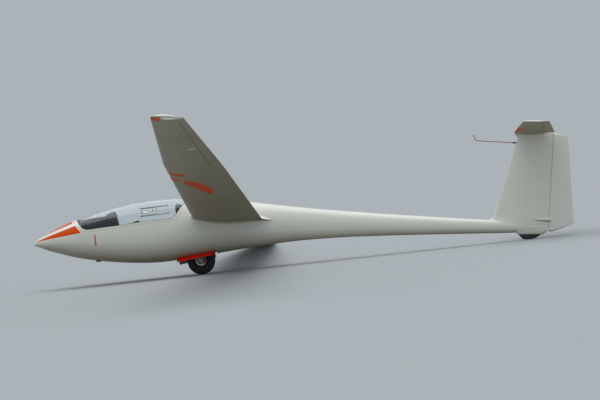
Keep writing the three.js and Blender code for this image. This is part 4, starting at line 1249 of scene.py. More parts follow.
def skinLine(points, lift=0.0):
    # points on the left skin along a side-view line, about every 12 mm
    flat = []
    for (ax, az), (bx, bz) in zip(points, points[1:]):
        count = max(3, int(math.hypot(bx - ax, bz - az) / 0.012))
        flat += [(ax + (bx - ax) * t, az + (bz - az) * t) for t in spread(0, 1, count)[:-1]]
    flat.append(points[-1])
    return [Vector((x, -skinSide(x, z, -lift), z)) for x, z in flat]


def buildWindowTrim(c):
    rails = [tube(skinLine(rail, c["railLift"]), c["railRadius"], 8) for rail in c["rails"]]
    seal = tube(skinLine(c["window"] + c["window"][:1]), c["windowSeal"], 6)
    stops = [roundBlock(skinLine([end], c["stopLift"])[0], c["stop"], 0.002)
             for rail in c["rails"] for end in rail]
    return joinShapes(*rails, seal, *stops)


def buildSeal(c):
    # rubber strip between the glass and its frame
    edge = [toSkin(p, 0.0012) for p in canopyCurve(2, c["points"], drawn=0.0006)]
    loop = edge + mirrored(edge)[::-1][1:-1]
    return tube(loop + loop[:2], c["sealRadius"], 8)


def buildScoop(c):
    # small air scoop hinged in the sliding window: its frame with a knob, and its flap
    corners, lift = c["scoop"], c["scoopLift"]
    frame = tube(skinLine(corners + corners[:1], lift), c["scoopRadius"], 8)
    flap = thicken(skinPatch(corners, 8, 6, inset=-lift), lambda p: toSkin(p, -c["flapThick"]))
    knob = turned(c["knobProfile"], skinLine([c["knob"]])[0], (0, -1, 0.35), 20)
    return joinShapes(frame, knob), flap


def buildLatch(c):
    # catch on the canopy frame: a plate and a tapered handle that points aft
    (x0, z0), (x1, z1) = c["latch"]
    rings = []
    for t in spread(0, 1, 12):
        x, z = x0 + (x1 - x0) * t, z0 + (z1 - z0) * t
        y = skinSide(x, z, c["latchInset"])
        high, wide = 0.004 + 0.008 * t**0.8, 0.0055 + 0.0015 * t
        size = endRound(min(t, 1 - t) + 0.02, 0.16)
        rings.append([Vector((x, y + wide * size * cos, z + high * size * sin)) for cos, sin in circle(16)])
    hinge = Vector((x0 + 0.012, skinSide(x0, z0, c["latchInset"]), z0 - 0.004))
    profile = [(0, -0.016), (0.008, -0.016), (0.008, 0.006), (0.006, 0.009), (0, 0.009)]
    plate = roundBlock(hinge + Vector((0.014, 0.012, -0.010)), c["latchPlate"], 0.002)
    return joinShapes(loft(rings), turned(profile, hinge, (0, -1, 0), 18), plate)


# Stripes on the nose: side-view corners
stripeSet = {
    "lowTip": (0.009, -0.206), "lowTop": (0.540, -0.009), "lowBottom": (0.624, -0.104),
    "topTip": (0.066, -0.152), "topEnd": (0.502, 0.027), "topCentreEnd": 0.474,
    "post": [(0.794, -0.133), (0.811, -0.132), (0.826, -0.273), (0.809, -0.273)],
    "proud": 0.0004, "steps": 40,
}


def buildNoseStripes(s):
    low = [s["lowTip"], s["lowTip"], s["lowBottom"], s["lowTop"]]
    shapes = []
    for side in (-1, 1):
        shapes.append(skinPatch(low, 10, s["steps"], side, -s["proud"]))
        shapes.append(skinPatch(s["post"], 3, 10, side, -s["proud"]))
    (x0, z0), (x1, z1) = s["topTip"], s["topEnd"]
    rows = []
    for t in spread(0, 1, s["steps"]):
        x, z = x0 + (x1 - x0) * t, z0 + (z1 - z0) * t
        cut = skinAngle(x, z)
        row = []
        for angle in spread(cut, math.pi - cut, 25):
            # the rear end is drawn forward in the middle
            bow = math.cos((angle - upright) / (upright - cut + 1e-6) * upright)
            row.append(skinPoint(x - (x1 - s["topCentreEnd"]) * t**3 * bow, angle, -s["proud"]))
        rows.append(row)
    shapes.append(sheet(rows))
    return joinShapes(*shapes)


# Landing gear: profiles are radius and place along the axle
gearSet = {
    "wheel": wheelCentre,
    "tyre": 0.177, "tyreHalf": 0.064, "shoulder": 0.108, "roundness": 0.62,
    "grooves": (0.0, 0.0165, 0.033), "groove": 0.0022,
    "bead": [(0.100, 0.0635), (0.088, 0.058), (0.080, 0.048), (0.0745, 0.0415), (0.0668, 0.0400)],
    "wallRibs": ((0.092, 0.0618), (0.118, 0.0637)), "wallRib": 0.0016,
    "rim": [(0.0135, -0.050), (0.0235, -0.050), (0.0255, -0.0475), (0.0265, -0.030), (0.031, -0.0245),
            (0.046, -0.019), (0.0505, -0.0205), (0.0525, -0.027), (0.055, -0.0425), (0.058, -0.0455),
            (0.0700, -0.0462), (0.0722, -0.0445), (0.0722, -0.0415), (0.0660, -0.0395)],
    "bolts": 6, "boltCircle": 0.0385, "boltSeat": 0.0235,
    "valve": ((0.045, -0.024, 0.012), (0.0475, -0.036, 0.0125), (0.048, -0.047, 0.0126)),
    "forkInner": 0.072, "forkOuter": 0.086, "forkWidth": 0.050, "forkTopX": 2.060, "forkTopZ": -0.1253,
    "strut": ((-0.012, 0.13), (-0.10, 0.235), (-0.17, 0.30)), "strutY": 0.079, "strutRadius": 0.0085,
    "axle": 0.0125, "axleHalf": 0.098, "axleHole": 0.0134,
    "nut": 0.0205, "nutY": (0.0865, 0.0955), "pinY": 0.0958,
    "caliperReach": 0.054, "caliperHalf": (0.0185, 0.0125), "caliperY": -0.0995, "caliperAngles": (28, -40),
    "caliperBolt": (2.182, -0.112, -0.445), "hose": 0.003,
    "hosePath": [(2.182, -0.1, -0.413), (2.18, -0.1, -0.385), (2.165, -0.092, -0.34), (2.13, -0.082, -0.25),
                 (2.1, -0.075, -0.14)],
    "doorX": (1.828, 2.295), "doorRoot": 0.105, "doorOpen": 141.0, "doorSkin": 0.004, "doorThick": 0.007,
    "hingeDrop": 0.004, "knuckles": 12, "knuckle": 0.0052,
}


def chamfered(end, flat=0.8):
    # eight corners of a bar's section, a unit each way; its ends and flats keep the given parts
    return [(-1, -end), (-flat, -1), (flat, -1), (1, -end), (1, end), (flat, 1), (-flat, 1), (-1, end)]


def buildTyre(g):
    profile = []
    for k in range(57):
        a = math.pi * k / 56
        y = -g["tyreHalf"] * math.cos(a)
        crown = math.sin(a)
        dip = g["groove"] * max(math.exp(-((abs(y) - at) / g["groove"]) ** 4) for at in g["grooves"])
        r = g["shoulder"] + (g["tyre"] - g["shoulder"]) * crown ** g["roundness"]
        profile.append((r - (dip if crown > 0.6 else 0), y))
    ring = [(r, -y) for r, y in reversed(g["bead"])] + profile + g["bead"] + [(0.0665, 0.0)]
    shapes = [turned(ring, g["wheel"], sides=112)]
    size = g["wallRib"]
    for side in (-1, 1):
        for r, y in g["wallRibs"]:
            rib = [(r + size * cos, side * y + size * sin) for cos, sin in circle(8)]
            shapes.append(turned(rib, g["wheel"], sides=96))
    return joinShapes(*shapes)


def buildRim(g):
    profile = g["rim"] + [(r, -y) for r, y in reversed(g["rim"])]
    shapes = [turned(profile, g["wheel"], sides=72)]
    centre = Vector(g["wheel"])
    nut = [(0, -0.006), (0.0052, -0.006), (0.0052, 0.004), (0.0042, 0.005), (0, 0.005)]
    stud = [(0, 0.004), (0.0026, 0.004), (0.0026, 0.009), (0, 0.0098)]
    for side in (-1, 1):
        for k in range(g["bolts"]):
            a = 2 * math.pi * (k + 0.5) / g["bolts"]
            r = g["boltCircle"]
            at = centre + Vector((r * math.cos(a), side * g["boltSeat"], r * math.sin(a)))
            for bolt, sides in ((nut, 6), (stud, 12)):
                shapes.append(turned([(size, side * y) for size, y in bolt], at, sides=sides))
    valve = tube([centre + Vector(p) for p in g["valve"]], [0.0035, 0.0035, 0.0028], 12)
    return joinShapes(*shapes, valve)


def buildFork(g):
    x, _, z = g["wheel"]
    topX, topZ = g["forkTopX"] + 0.01, g["forkTopZ"]
    thick = g["forkOuter"] - g["forkInner"]
    hole, r, h = g["axleHole"], g["forkWidth"] / 2 + 0.003, thick / 2
    eye = [(hole, -h), (r - 0.003, -h), (r, -h + 0.003), (r, h - 0.003), (r - 0.003, h), (hole, h)]
    legs, struts = [], []
    for side in (-1, 1):
        y = side * (g["forkInner"] + g["forkOuter"]) / 2
        rings = []
        for t in spread(0, 1, 12):
            mid = Vector((x + (topX - x) * t, y, z + (topZ - z) * t))
            half = g["forkWidth"] / 2 * (1 - 0.24 * math.sin(math.pi * min(t * 1.15, 1)) + 0.5 * t**3)
            rings.append([mid + Vector((dx * half, dy * thick / 2, 0)) for dx, dy in chamfered(0.6)])
        legs += [loft(rings), turned(eye, (x, y, z), sides=40)]
        strut = [(x + dx, side * g["strutY"], z + dz) for dx, dz in g["strut"]]
        struts.append(tube(strut, g["strutRadius"], 14))
    bridge = roundBlock((topX, 0, topZ - 0.02), (0.06, 2 * g["forkOuter"], 0.04), 0.004)
    return joinShapes(*legs, bridge, *struts)


def buildAxle(g):
    x, _, z = g["wheel"]
    r, h = g["axle"], g["axleHalf"]
    bar = [(0, -h), (r - 0.002, -h), (r, -h + 0.002), (r, h - 0.002), (r - 0.002, h), (0, h)]
    shapes = [turned(bar, g["wheel"], sides=32)]
    inner, outer = g["nutY"]
    nut = [(r - 0.001, inner), (g["nut"], inner), (g["nut"], outer - 0.001), (g["nut"] - 0.002, outer),
           (r - 0.001, outer)]
    for side in (-1, 1):
        shapes.append(turned([(radius, side * y) for radius, y in nut], g["wheel"], sides=6))
        shapes.append(tube([(x, side * g["pinY"], z + end * 0.017) for end in (-1, 1)], 0.0016, 8))
    return joinShapes(*shapes)


def buildCaliper(g):
    x, _, z = g["wheel"]
    deep, wide = g["caliperHalf"]
    rings = []
    for t, angle in zip(spread(0, 1, 15), spread(*g["caliperAngles"], 15)):
        a = math.radians(angle)
        out = Vector((math.cos(a), 0, math.sin(a)))
        half = deep * endRound(min(t, 1 - t) + 0.02, 0.14)
        rings.append([Vector((x, 0, z)) + out * (g["caliperReach"] + half * dr)
                      + Vector((0, g["caliperY"] + wide * dy, 0)) for dr, dy in chamfered(0.7)])
    shapes = [loft(rings)]
    bolt = [(0, -0.006), (0.006, -0.006), (0.006, 0.001), (0, 0.001)]
    for dz in (-0.02, 0.02):
        shapes.append(turned(bolt, Vector(g["caliperBolt"]) + Vector((0, 0, dz)), sides=6))
    return joinShapes(*shapes, tube(g["hosePath"], g["hose"], 8))


def doorEdge(g, x):
    # point on the door's outer edge, where it hinges
    return Vector((x, g["doorRoot"], bellyHeight(x, g["doorRoot"]) - g["hingeDrop"]))


def doorShape(g, side, low, high):
    # a layer of the door between two depths below its skin, turned open about its outer edge
    ys = spread(0.002, g["doorRoot"] - 0.0005, 12)
    rows = [[Vector((x, y, bellyHeight(x, y))) for y in ys] for x in spread(*g["doorX"], 26)]
    outer = sheet(rows)

    def lifted(p, by):
        return Vector((p.x, p.y * (1 - by * 1.2), p.z + by))

    verts = [lifted(p, low) for p in outer[0]]
    shape = thicken((verts, outer[1]), lambda p: lifted(p, high - low))
    a, b = [doorEdge(g, x) for x in g["doorX"]]
    turn = (Matrix.Translation(a) @ Matrix.Rotation(math.radians(g["doorOpen"]), 4, (b - a).normalized())
            @ Matrix.Translation(-a))
    moved = [turn @ p for p in shape[0]], shape[1]
    return moved if side > 0 else mirrorShape(moved)


def buildDoorHinges(g, side):
    # one long hinge with a knuckle every few centimetres
    x0, x1 = g["doorX"]
    path, sizes = [], []
    for k in range(g["knuckles"]):
        for t, size in ((0.02, 0.62), (0.06, 1.0), (0.94, 1.0), (0.98, 0.62)):
            path.append(doorEdge(g, x0 + (x1 - x0) * (k + t) / g["knuckles"]))
            sizes.append(g["knuckle"] * size)
    shape = tube(path, sizes, 14)
    return shape if side > 0 else mirrorShape(shape)


# Tail skid, fairings, probe and tow hook
tailSkidSet = {
    "fairing": [(6.080, -0.060), (6.112, -0.094), (6.160, -0.124), (6.300, -0.122), (6.428, -0.110),
                (6.490, -0.070)],
    "keelHalf": 0.022, "fullness": 0.4, "lap": 0.0006,
    "shoe": [(6.138, -0.108), (6.164, -0.138), (6.204, -0.168), (6.318, -0.162), (6.380, -0.134),
             (6.412, -0.108)],
    "shoeHalf": 0.027, "shoeTop": -0.108, "shoeTaper": 0.3,
}


def buildSkidFairing(s):
    # sections that leave the boom's side smoothly and close round the keel
    rings = []
    for p in smoothCurve(s["fairing"], 8):
        half, drop, waist, _ = section(p.x, False)
        along, down = s["keelHalf"] / half, (waist - p.y) / drop
        reach = math.hypot(along, down)
        angle = math.atan2(down, along) - (math.acos(1 / reach) if reach > 1 else 0)
        start = skinPoint(p.x, -angle, s["lap"])
        slope = (skinPoint(p.x, -angle - 0.04) - skinPoint(p.x, -angle + 0.04)).normalized()
        lean = start + slope * s["fullness"] * max(start.z - p.y, 0.002)
        keel, low = Vector((p.x, s["keelHalf"], p.y)), Vector((p.x, 0, p.y))
        side = [bezier(start, lean, keel, t).lerp(bezier(lean, keel, low, t), t) for t in spread(0, 1, 13)]
        roof = Vector((p.x, start.y * 0.8, max(start.z, waist - 0.01)))
        rings.append([roof] + side + mirrored(side[-2::-1] + [roof]))
    return loft(rings)


def buildSkidShoe(s):
    # rubber sole, rounded across and narrower below
    top = s["shoeTop"]
    rings = []
    for p in smoothCurve(s["shoe"], 8):
        ring = []
        for a in spread(0, math.pi, 17):
            y = s["shoeHalf"] * math.cos(a) * (1 - s["shoeTaper"] * math.sin(a))
            ring.append(Vector((p.x, y, top - (top - p.y) * math.sin(a) ** 0.5)))
        rings.append(ring)
    return loft(rings)


probeSet = {
    "root": (6.134, 0, 1.052), "knee": (5.592, 0, 1.084), "tip": (5.568, 0, 1.158), "bend": 0.045,
    "radius": 0.005, "grooves": (0.30, 0.34, 0.66, 0.70), "collarX": 6.062, "collarRadius": 0.009,
}


def buildProbe(s):
    root, knee, tip = [Vector(s[key]) for key in ("root", "knee", "tip")]
    start = knee + (root - knee).normalized() * s["bend"]
    end = knee + (tip - knee).normalized() * s["bend"]
    path = [root, (root + knee) / 2] + [bezier(start, knee, end, t) for t in spread(0, 1, 9)] + [tip]
    r = s["radius"]
    rod = tube(path, [r] * (len(path) - 1) + [r * 0.9], 14)
    grooves = tube([end.lerp(tip, t) for t in s["grooves"]], r * 1.12, 14)
    collar = tube([(s["collarX"], 0, root.z + 0.004), (s["collarX"] + 0.006, 0, root.z + 0.0036), root],
                  [r * 1.15, s["collarRadius"], s["collarRadius"]], 18)
    return joinShapes(rod, grooves), collar


hookSet = {
    "x": (0.792, 0.852), "z": (-0.446, -0.412), "cheek": 0.006, "cheekY": 0.0115,
    "pin": 0.0034, "pinHalf": 0.0165, "pinX": (0.802, 0.840), "pinZ": -0.433,
    # x from the front and height from the foot of the release
    "jaw": [(0.012, 0.030), (0.010, 0.012), (0.020, 0.006), (0.034, 0.010), (0.038, 0.020)],
    "jawRadius": 0.0042, "block": (0.016, 0.018, 0.030),
}


def buildHook(s):
    (x0, x1), (z0, z1) = s["x"], s["z"]
    middle, height = (x0 + x1) / 2, (z0 + z1) / 2
    cheeks = [roundBlock((middle, side * s["cheekY"], height), (x1 - x0, s["cheek"], z1 - z0), 0.0018)
              for side in (-1, 1)]
    jaw = tube([(x0 + dx, 0, z0 + dz) for dx, dz in s["jaw"]], s["jawRadius"], 12)
    back = roundBlock((s["pinX"][1], 0, height), s["block"], 0.002)
    pins = [tube([(x, side * s["pinHalf"], s["pinZ"]) for side in (-1, 1)], s["pin"], 12) for x in s["pinX"]]
    return joinShapes(*cheeks, jaw, back, *pins)


tipSkidSet = {
    "x": (2.325, 2.556), "y": (7.385, 7.490), "drop": 0.040, "lap": 0.0015,
    # where the blister meets the floor, and the floor's rise aft and outwards from there
    "touch": (2.470, 7.424), "underWing": (7.411, 0.4), "touchDrop": 0.017,
    "floorRise": (0.105, 0.137), "floorGap": 0.0004, "soften": 0.003,
}


def buildTipSkid(s):
    # moulded blister under the tip, no lower than the floor the right wing rests on
    (x0, x1), (y0, y1) = s["x"], s["y"]
    (touchX, touchY), (riseX, riseY) = s["touch"], s["floorRise"]
    low = wingPoint(*s["underWing"], -1).z - s["touchDrop"]
    rings = []
    for x in spread(x0, x1, 33):
        t = (x - x0) / (x1 - x0)
        along = endRound(t, 0.75) * endRound(1 - t + 0.01, 0.12)
        lower, upper = [], []
        for u in spread(-1, 1, 21):
            y = (y0 + y1) / 2 + (y1 - y0) / 2 * u
            leadX, chord, _ = linear(wingSet["stations"], y)
            skin = wingPoint(y, min((x - leadX) / chord, 0.985), -1).z + s["lap"]
            drop = (s["drop"] + s["lap"]) * along * endRound(1 + u, 1.3) * endRound(1 - u, 0.25)
            floor = low + riseX * (x - touchX) + riseY * (y - touchY) + s["floorGap"]
            spare = (skin - drop - floor) / s["soften"]
            bottom = floor + s["soften"] * math.log1p(math.exp(min(spare, 60)))
            lower.append(Vector((x, y, bottom)))
            upper.append(Vector((x, y, max(skin, bottom) + 0.0008)))
        rings.append(lower + upper[::-1])
    return loft(rings)


rodFairingSet = {
    "y": 5.560, "parts": (0.58, 0.755), "half": 0.017, "reach": 0.019, "sunk": 0.002,
    # part of its length, then its size there
    "swell": [(0, 0.04), (0.12, 0.40), (0.25, 0.64), (0.5, 1.0), (0.75, 0.86), (0.9, 0.5), (1, 0.06)],
}


def buildRodFairing(s):
    rings = []
    for t, part in zip(spread(0, 1, 22), spread(*s["parts"], 22)):
        size = max(hermite(s["swell"], t)[0], 0.03)
        middle = wingPoint(s["y"], part, -1) + Vector((0, 0, s["sunk"]))
        rings.append([middle + Vector((0, s["half"] * size * cos, s["reach"] * size * sin))
                      for cos, sin in circle(24)])
    return loft(rings)


driveSet = {
    # x, half height, middle, half width
    "rings": [(6.300, 0.007, 0.018, 0.026), (6.350, 0.017, 0.018, 0.031), (6.410, 0.023, 0.018, 0.035),
              (6.470, 0.026, 0.018, 0.037), (6.515, 0.026, 0.024, 0.031), (6.536, 0.023, 0.036, 0.018),
              (6.548, 0.016, 0.044, 0.008), (6.553, 0.007, 0.047, 0.003)],
    "z": 0.076, "tailFrom": 6.536,
}


def buildDriveFairing(s):
    # teardrop on the fin over the rudder drive, right side; its rear end stands clear of the rudder
    rows = s["rings"]
    rings = []
    for x in spread(rows[0][0], s["tailFrom"], 20) + spread(s["tailFrom"], rows[-1][0], 8)[1:]:
        tall, middle, wide = hermite(rows, x)
        rings.append([Vector((x, middle + wide * cos, s["z"] + tall * sin)) for cos, sin in circle(24)])
    return loft(rings)


# Cockpit
coverSet = {
    # x, half width, bottom, top; then the hump over the instruments
    "cover": [(0.562, 0.096, 0.016, 0.082), (0.612, 0.138, -0.030, 0.087), (0.700, 0.216, -0.066, 0.098),
              (0.800, 0.246, -0.062, 0.111), (0.920, 0.262, -0.048, 0.128), (1.080, 0.268, -0.030, 0.142)],
    "hump": [(0.915, 0.084, 0.060, 0.128), (0.930, 0.092, 0.060, 0.156), (1.022, 0.116, 0.060, 0.189),
             (1.080, 0.116, 0.060, 0.190)],
    "blend": 0.008, "steps": 46, "across": 49, "thick": 0.006, "narrower": 0.988,
    "panelTop": (1.030, 0.190), "panelFoot": (1.066, -0.034), "panelThick": 0.012, "panelMiddle": 0.06,
}


def panelX(z):
    (tx, tz), (fx, fz) = coverSet["panelTop"], coverSet["panelFoot"]
    return fx + (tx - fx) * (z - fz) / (tz - fz)


def panelAxes():
    # the leaning panel's directions: right, up and out towards the seat
    (tx, tz), (fx, fz) = coverSet["panelTop"], coverSet["panelFoot"]
    up = Vector((tx - fx, 0, tz - fz)).normalized()
    return Vector((0, 1, 0)), up, Vector((up.z, 0, -up.x))


def coverTop(x, y):
    def crown(table):
        half, bottom, top = hermite(table, x)
        part = min(abs(y) / half, 1)
        return bottom + (top - bottom) * (1 - part**3) ** 0.33

    wide, hump, blend = crown(coverSet["cover"]), coverSet["hump"], coverSet["blend"]
    if x < hump[0][0] + 0.001 or abs(y) > hermite(hump, x)[0]:
        return wide
    tall = crown(hump)
    return max(wide, tall) + blend * math.exp(-((wide - tall) / blend) ** 2) * 0.25


def buildCover(c):
    x0, rear = c["cover"][0][0], c["panelTop"][0]
    rows = []
    for t in spread(0, 1, c["steps"]):
        row = []
        for angle in spread(0, math.pi, c["across"]):
            u = math.cos(angle)
            x = x0 + (rear - x0) * t
            for _ in range(4):
                z = coverTop(x, u * hermite(c["cover"], x)[0])
                x = x0 + (panelX(z) - c["panelThick"] - 0.0005 - x0) * t
            row.append(Vector((x, u * hermite(c["cover"], x)[0], z)))
        rows.append(row)
    shape = sheet(rows)
    return thicken(shape, lambda p: Vector((p.x, p.y * c["narrower"], p.z - c["thick"]))), rows[-1]


def buildPanel(c, edge):
    out = panelAxes()[2]
    outline = [Vector((panelX(p.z), p.y * 0.995, p.z - 0.001)) for p in edge]
    layers = [[p - out * depth for p in outline] for depth in (c["panelThick"], 0.0015)]
    middle = Vector((panelX(c["panelMiddle"]), 0, c["panelMiddle"]))
    return loft(layers + [[middle + (p - middle) * 0.985 for p in outline]])


dialSet = {
    # across, height, radius and hand's angle of each instrument
    "dials": [(-0.072, 0.118, 0.040, 215), (0.030, 0.128, 0.040, 140), (-0.150, 0.052, 0.0285, 20),
              (-0.062, 0.030, 0.0285, 265), (0.034, 0.032, 0.0285, 90), (0.124, 0.052, 0.0285, 330)],
    "ticks": 24, "longTick": (0.20, 0.0011), "shortTick": (0.10, 0.0006), "tickEnd": 0.78,
    "screen": (0.0, -0.012, 0.10, 0.038),
    "switches": [(-0.19, 0.02), (0.19, 0.02), (0.215, 0.02), (-0.215, 0.02)],
    "stalk": [(-0.215, 0.088), (-0.215, 0.098, 0.016), (-0.215, 0.110, 0.026)],
    "knobAt": (-0.215, 0.110, 0.022),
    # turned parts: radius and height over the panel
    "screw": [(0, -0.001), (0.0032, -0.001), (0.0032, 0.0012), (0.002, 0.002), (0, 0.002)],
    "hub": [(0, 0.0016), (0.004, 0.0016), (0.003, 0.0042), (0, 0.0042)],
    "screenKnob": [(0, 0.006), (0.008, 0.006), (0.0075, 0.020), (0.006, 0.022), (0, 0.022)],
    "knob": [(0, 0), (0.008, 0), (0.011, 0.004), (0.011, 0.009), (0.008, 0.013), (0, 0.013)],
    "switchFoot": [(0, 0), (0.006, 0), (0.006, 0.003), (0.0025, 0.004), (0, 0.004)],
}


def buildDials(s):
    right, up, out = panelAxes()
    bezels, faces, marks = [], [], []

    def at(y, z, off=0.0):
        return Vector((panelX(z), y, z)) + out * off

    def aimed(angle):
        return right * math.cos(angle) + up * math.sin(angle)

    def bar(place, aim, size, bevel):
        marks.append(roundBlock(place, size, bevel, (aim, out.cross(aim), out), 1))

    for y, z, r, hand in s["dials"]:
        middle = at(y, z)
        rim = [(r * 0.86, 0.0005), (r * 0.86, 0.0045), (r * 0.90, 0.006), (r * 0.98, 0.006), (r, 0.0045),
               (r, -0.004), (r * 0.86, -0.004)]
        bezels.append(turned(rim, middle, out, 40))
        for angle in (45, 135, 225, 315):
            bezels.append(turned(s["screw"], middle + aimed(math.radians(angle)) * r * 1.2, out, 10))
        face = [(0, -0.002), (r * 0.88, -0.002), (r * 0.88, 0.0016), (0, 0.0016)]
        faces.append(turned(face, middle, out, 32))
        for k in range(s["ticks"]):
            aim = aimed(2 * math.pi * k / s["ticks"])
            length, wide = s["shortTick"] if k % 3 else s["longTick"]
            place = middle + aim * r * (s["tickEnd"] - length / 2) + out * 0.0018
            bar(place, aim, (r * length, wide, 0.0006), 0.0001)
        aim = aimed(math.radians(hand))
        bar(middle + aim * r * 0.28 + out * 0.0032, aim, (r * 0.8, 0.0018, 0.0006), 0.0002)
        faces.append(turned(s["hub"], middle, out, 14))
    y, z, wide, high = s["screen"]
    axes = (right, out, up)
    bezels.append(roundBlock(at(y, z, 0.002), (wide, 0.012, high), 0.002, axes))
    faces.append(roundBlock(at(y - 0.012, z, 0.0075), (wide * 0.55, 0.002, high * 0.62), 0.0006, axes))
    bezels.append(turned(s["screenKnob"], at(y + 0.036, z), out, 20))
    bezels.append(tube([at(*p) for p in s["stalk"]], 0.003, 10))
    bezels.append(turned(s["knob"], at(*s["knobAt"]), out, 20))
    for y, z in s["switches"]:
        bezels.append(turned(s["switchFoot"], at(y, z), out, 12))
        bezels.append(tube([at(y, z, 0.002), at(y, z, 0.012) + up * 0.006], [0.0016, 0.0026], 10))
    return joinShapes(*bezels), joinShapes(*faces), joinShapes(*marks)


seatSet = {
    "line": [(0.660, -0.352), (0.930, -0.338), (1.010, -0.292), (1.090, -0.300), (1.190, -0.376),
             (1.290, -0.392), (1.370, -0.352), (1.560, -0.158), (1.680, -0.024), (1.712, 0.014)],
    "linePoints": 200, "panPoints": 90, "thick": 0.008, "edgeRise": 0.045, "wallGap": 0.0145,
}


def seatCurve(count):
    return resample([Vector((p.x, 0, p.y)) for p in smoothCurve(seatSet["line"], 16)], count)


def normalAt(line, i):
    # square to the seat's line, away from the pan
    run = runAt(line, i)
    return Vector((-run.z, 0, run.x))


def nearest(line, p):
    # place along the line of the point that lies closest, seen from the side
    return min(range(len(line)), key=lambda k: (line[k].x - p.x) ** 2 + (line[k].z - p.z) ** 2)


seatLine = seatCurve(seatSet["linePoints"])


def buildSeatPan(s):
    line = seatCurve(s["panPoints"])
    rows = []
    for k, p in enumerate(line):
        row = []
        for u in spread(-1, 1, 33):
            q = p + normalAt(line, k) * s["edgeRise"] * abs(u) ** 5
            row.append(Vector((q.x, u * skinSide(q.x, q.z, s["wallGap"]), q.z)))
        rows.append(row)
    return thicken(sheet(rows), lambda q: q + Vector((-0.002, 0, s["thick"] / 2)))


cushionSet = {
    "ends": ((1.010, 0, -0.292), (1.680, 0, -0.024)), "half": 0.182, "low": 0.0105, "high": 0.050,
    "rows": 60, "across": 33, "room": 0.007,     # room left for the filling to swell
    "narrower": 0.10, "narrowFrom": 0.62,
    "channels": (0.10, 0.20, 0.30, 0.41, 0.52, 0.62, 0.72, 0.82, 0.91), "channel": (0.008, 0.007),
    "longSeam": 0.74, "seam": (0.005, 0.02),     # depth and width
    "sewnFrom": 0.026, "sewnFade": 0.012, "sewnPoints": 140,
    "voxel": 0.007, "cap": 0.009, "heldUnder": 0.006, "heldPoints": 100,
}


def cushionLine(count):
    first, last = [nearest(seatLine, Vector(p)) for p in cushionSet["ends"]]
    return resample(seatLine[first:last + 1], count)


def cushionForm(s):
    # crowned closed form on the pan, before its filling swells it
    line = cushionLine(s["rows"])
    rings = []
    for i, p in enumerate(line):
        n = normalAt(line, i)
        t = i / (s["rows"] - 1)
        end = endRound(min(t, 1 - t) + 0.002, 0.035)
        half = s["half"] * (1 - s["narrower"] * max(0, t - s["narrowFrom"]) / (1 - s["narrowFrom"]))
        top, low = [], []
        for u in spread(-1, 1, s["across"]):
            edge = endRound(1 - abs(u) + 0.004, 0.10) * end
            high = s["low"] + max((s["high"] - s["low"] - s["room"]) * edge, 0.001)
            top.append(p + n * high + Vector((0, u * half, 0)))
            low.append(p + n * s["low"] + Vector((0, u * half, 0)))
        rings.append(top + low[::-1])
    return loft(rings)


def sewCushion(shape, s):
    # pulls the swollen cover in along cross seams and two long seams
    line = cushionLine(s["sewnPoints"])
    last = len(line) - 1
    out = []
    for v in shape[0]:
        p = Vector(v)
        k = nearest(line, p)
        n = normalAt(line, k)
        off = p - line[k]
        low, high = max(k - 1, 0), min(k + 1, last)
        run = (line[high] - line[low]) / (high - low)
        t = (k + off.dot(run) / run.length_squared) / last
        lift = off.dot(n) - s["sewnFrom"]
        if lift > 0:
            cross = min(abs(t - c) for c in s["channels"])
            along = abs(abs(p.y) / s["half"] - s["longSeam"])
            dip = sum(depth * math.exp(-(away / width) ** 2)
                      for away, (depth, width) in ((cross, s["channel"]), (along, s["seam"])))
            p -= n * dip * min(lift / s["sewnFade"], 1)
        out.append(p)
    return out, shape[1]


softSet = {"pressure": 4.0, "frames": 20, "tension": 15.0, "bending": 0.6}


def evaluated(piece):
    graph = bpy.context.evaluated_depsgraph_get()
    return bpy.data.meshes.new_from_object(piece.evaluated_get(graph))


def swell(shape, voxel, cap, held):
    # even mesh over the form, filled by air pressure as cloth, each point moved no further than the cap
    piece = newObject("soft", *shape)
    scene = bpy.context.scene
    cover = piece.modifiers.new("even", "REMESH")
    cover.mode, cover.voxel_size = "VOXEL", voxel
    piece.data = evaluated(piece)
    piece.modifiers.clear()
    start = [v.co.copy() for v in piece.data.vertices]
    group = piece.vertex_groups.new(name="held")
    group.add([k for k, p in enumerate(start) if held(p)], 1.0, "REPLACE")
    cloth = piece.modifiers.new("cloth", "CLOTH")
    cloth.settings.use_pressure = True
    cloth.settings.uniform_pressure_force = softSet["pressure"]
    cloth.settings.tension_stiffness = cloth.settings.compression_stiffness = softSet["tension"]
    cloth.settings.bending_stiffness = softSet["bending"]
    cloth.settings.vertex_group_mass = "held"
    cloth.settings.effector_weights.gravity = 0
    cloth.collision_settings.use_collision = False
    for step in range(1, softSet["frames"] + 1):
        scene.frame_set(step)
    swollen = evaluated(piece)
    for v, p, q in zip(piece.data.vertices, start, swollen.vertices):
        move = q.co - p
        v.co = p + move * min(1, cap / max(move.length, 1e-6))
    piece.modifiers.clear()
    scene.frame_set(1)
    piece.modifiers.new("finer", "SUBSURF").levels = 1
    final = evaluated(piece)
    bpy.data.objects.remove(piece)
    return [v.co.copy() for v in final.vertices], [tuple(f.vertices) for f in final.polygons]


def buildCushion(s):
    line = cushionLine(s["heldPoints"])

    def resting(p):
        k = nearest(line, p)
        return (p - line[k]).dot(normalAt(line, k)) < s["low"] + s["heldUnder"]

    return sewCushion(swell(cushionForm(s), s["voxel"], s["cap"], resting), s)


headrestSet = {
    "x": (1.797, 1.902), "half": 0.092, "z": (0.120, 0.284), "smaller": 0.005, "voxel": 0.0045, "cap": 0.007,
    "lean": 0.014, "seam": 0.0035, "seamSlope": 0.19,
    "deepShape": (0.55, 0.45), "tallShape": (0.6, 0.38),     # roundness, then how much the ends draw in
    "floor": 0.0743, "stemX": 1.851, "stem": (0.016, 0.008), "stemY": 0.016, "stemInside": 0.04,
    "foot": (0.05, 0.06, 0.005),
}


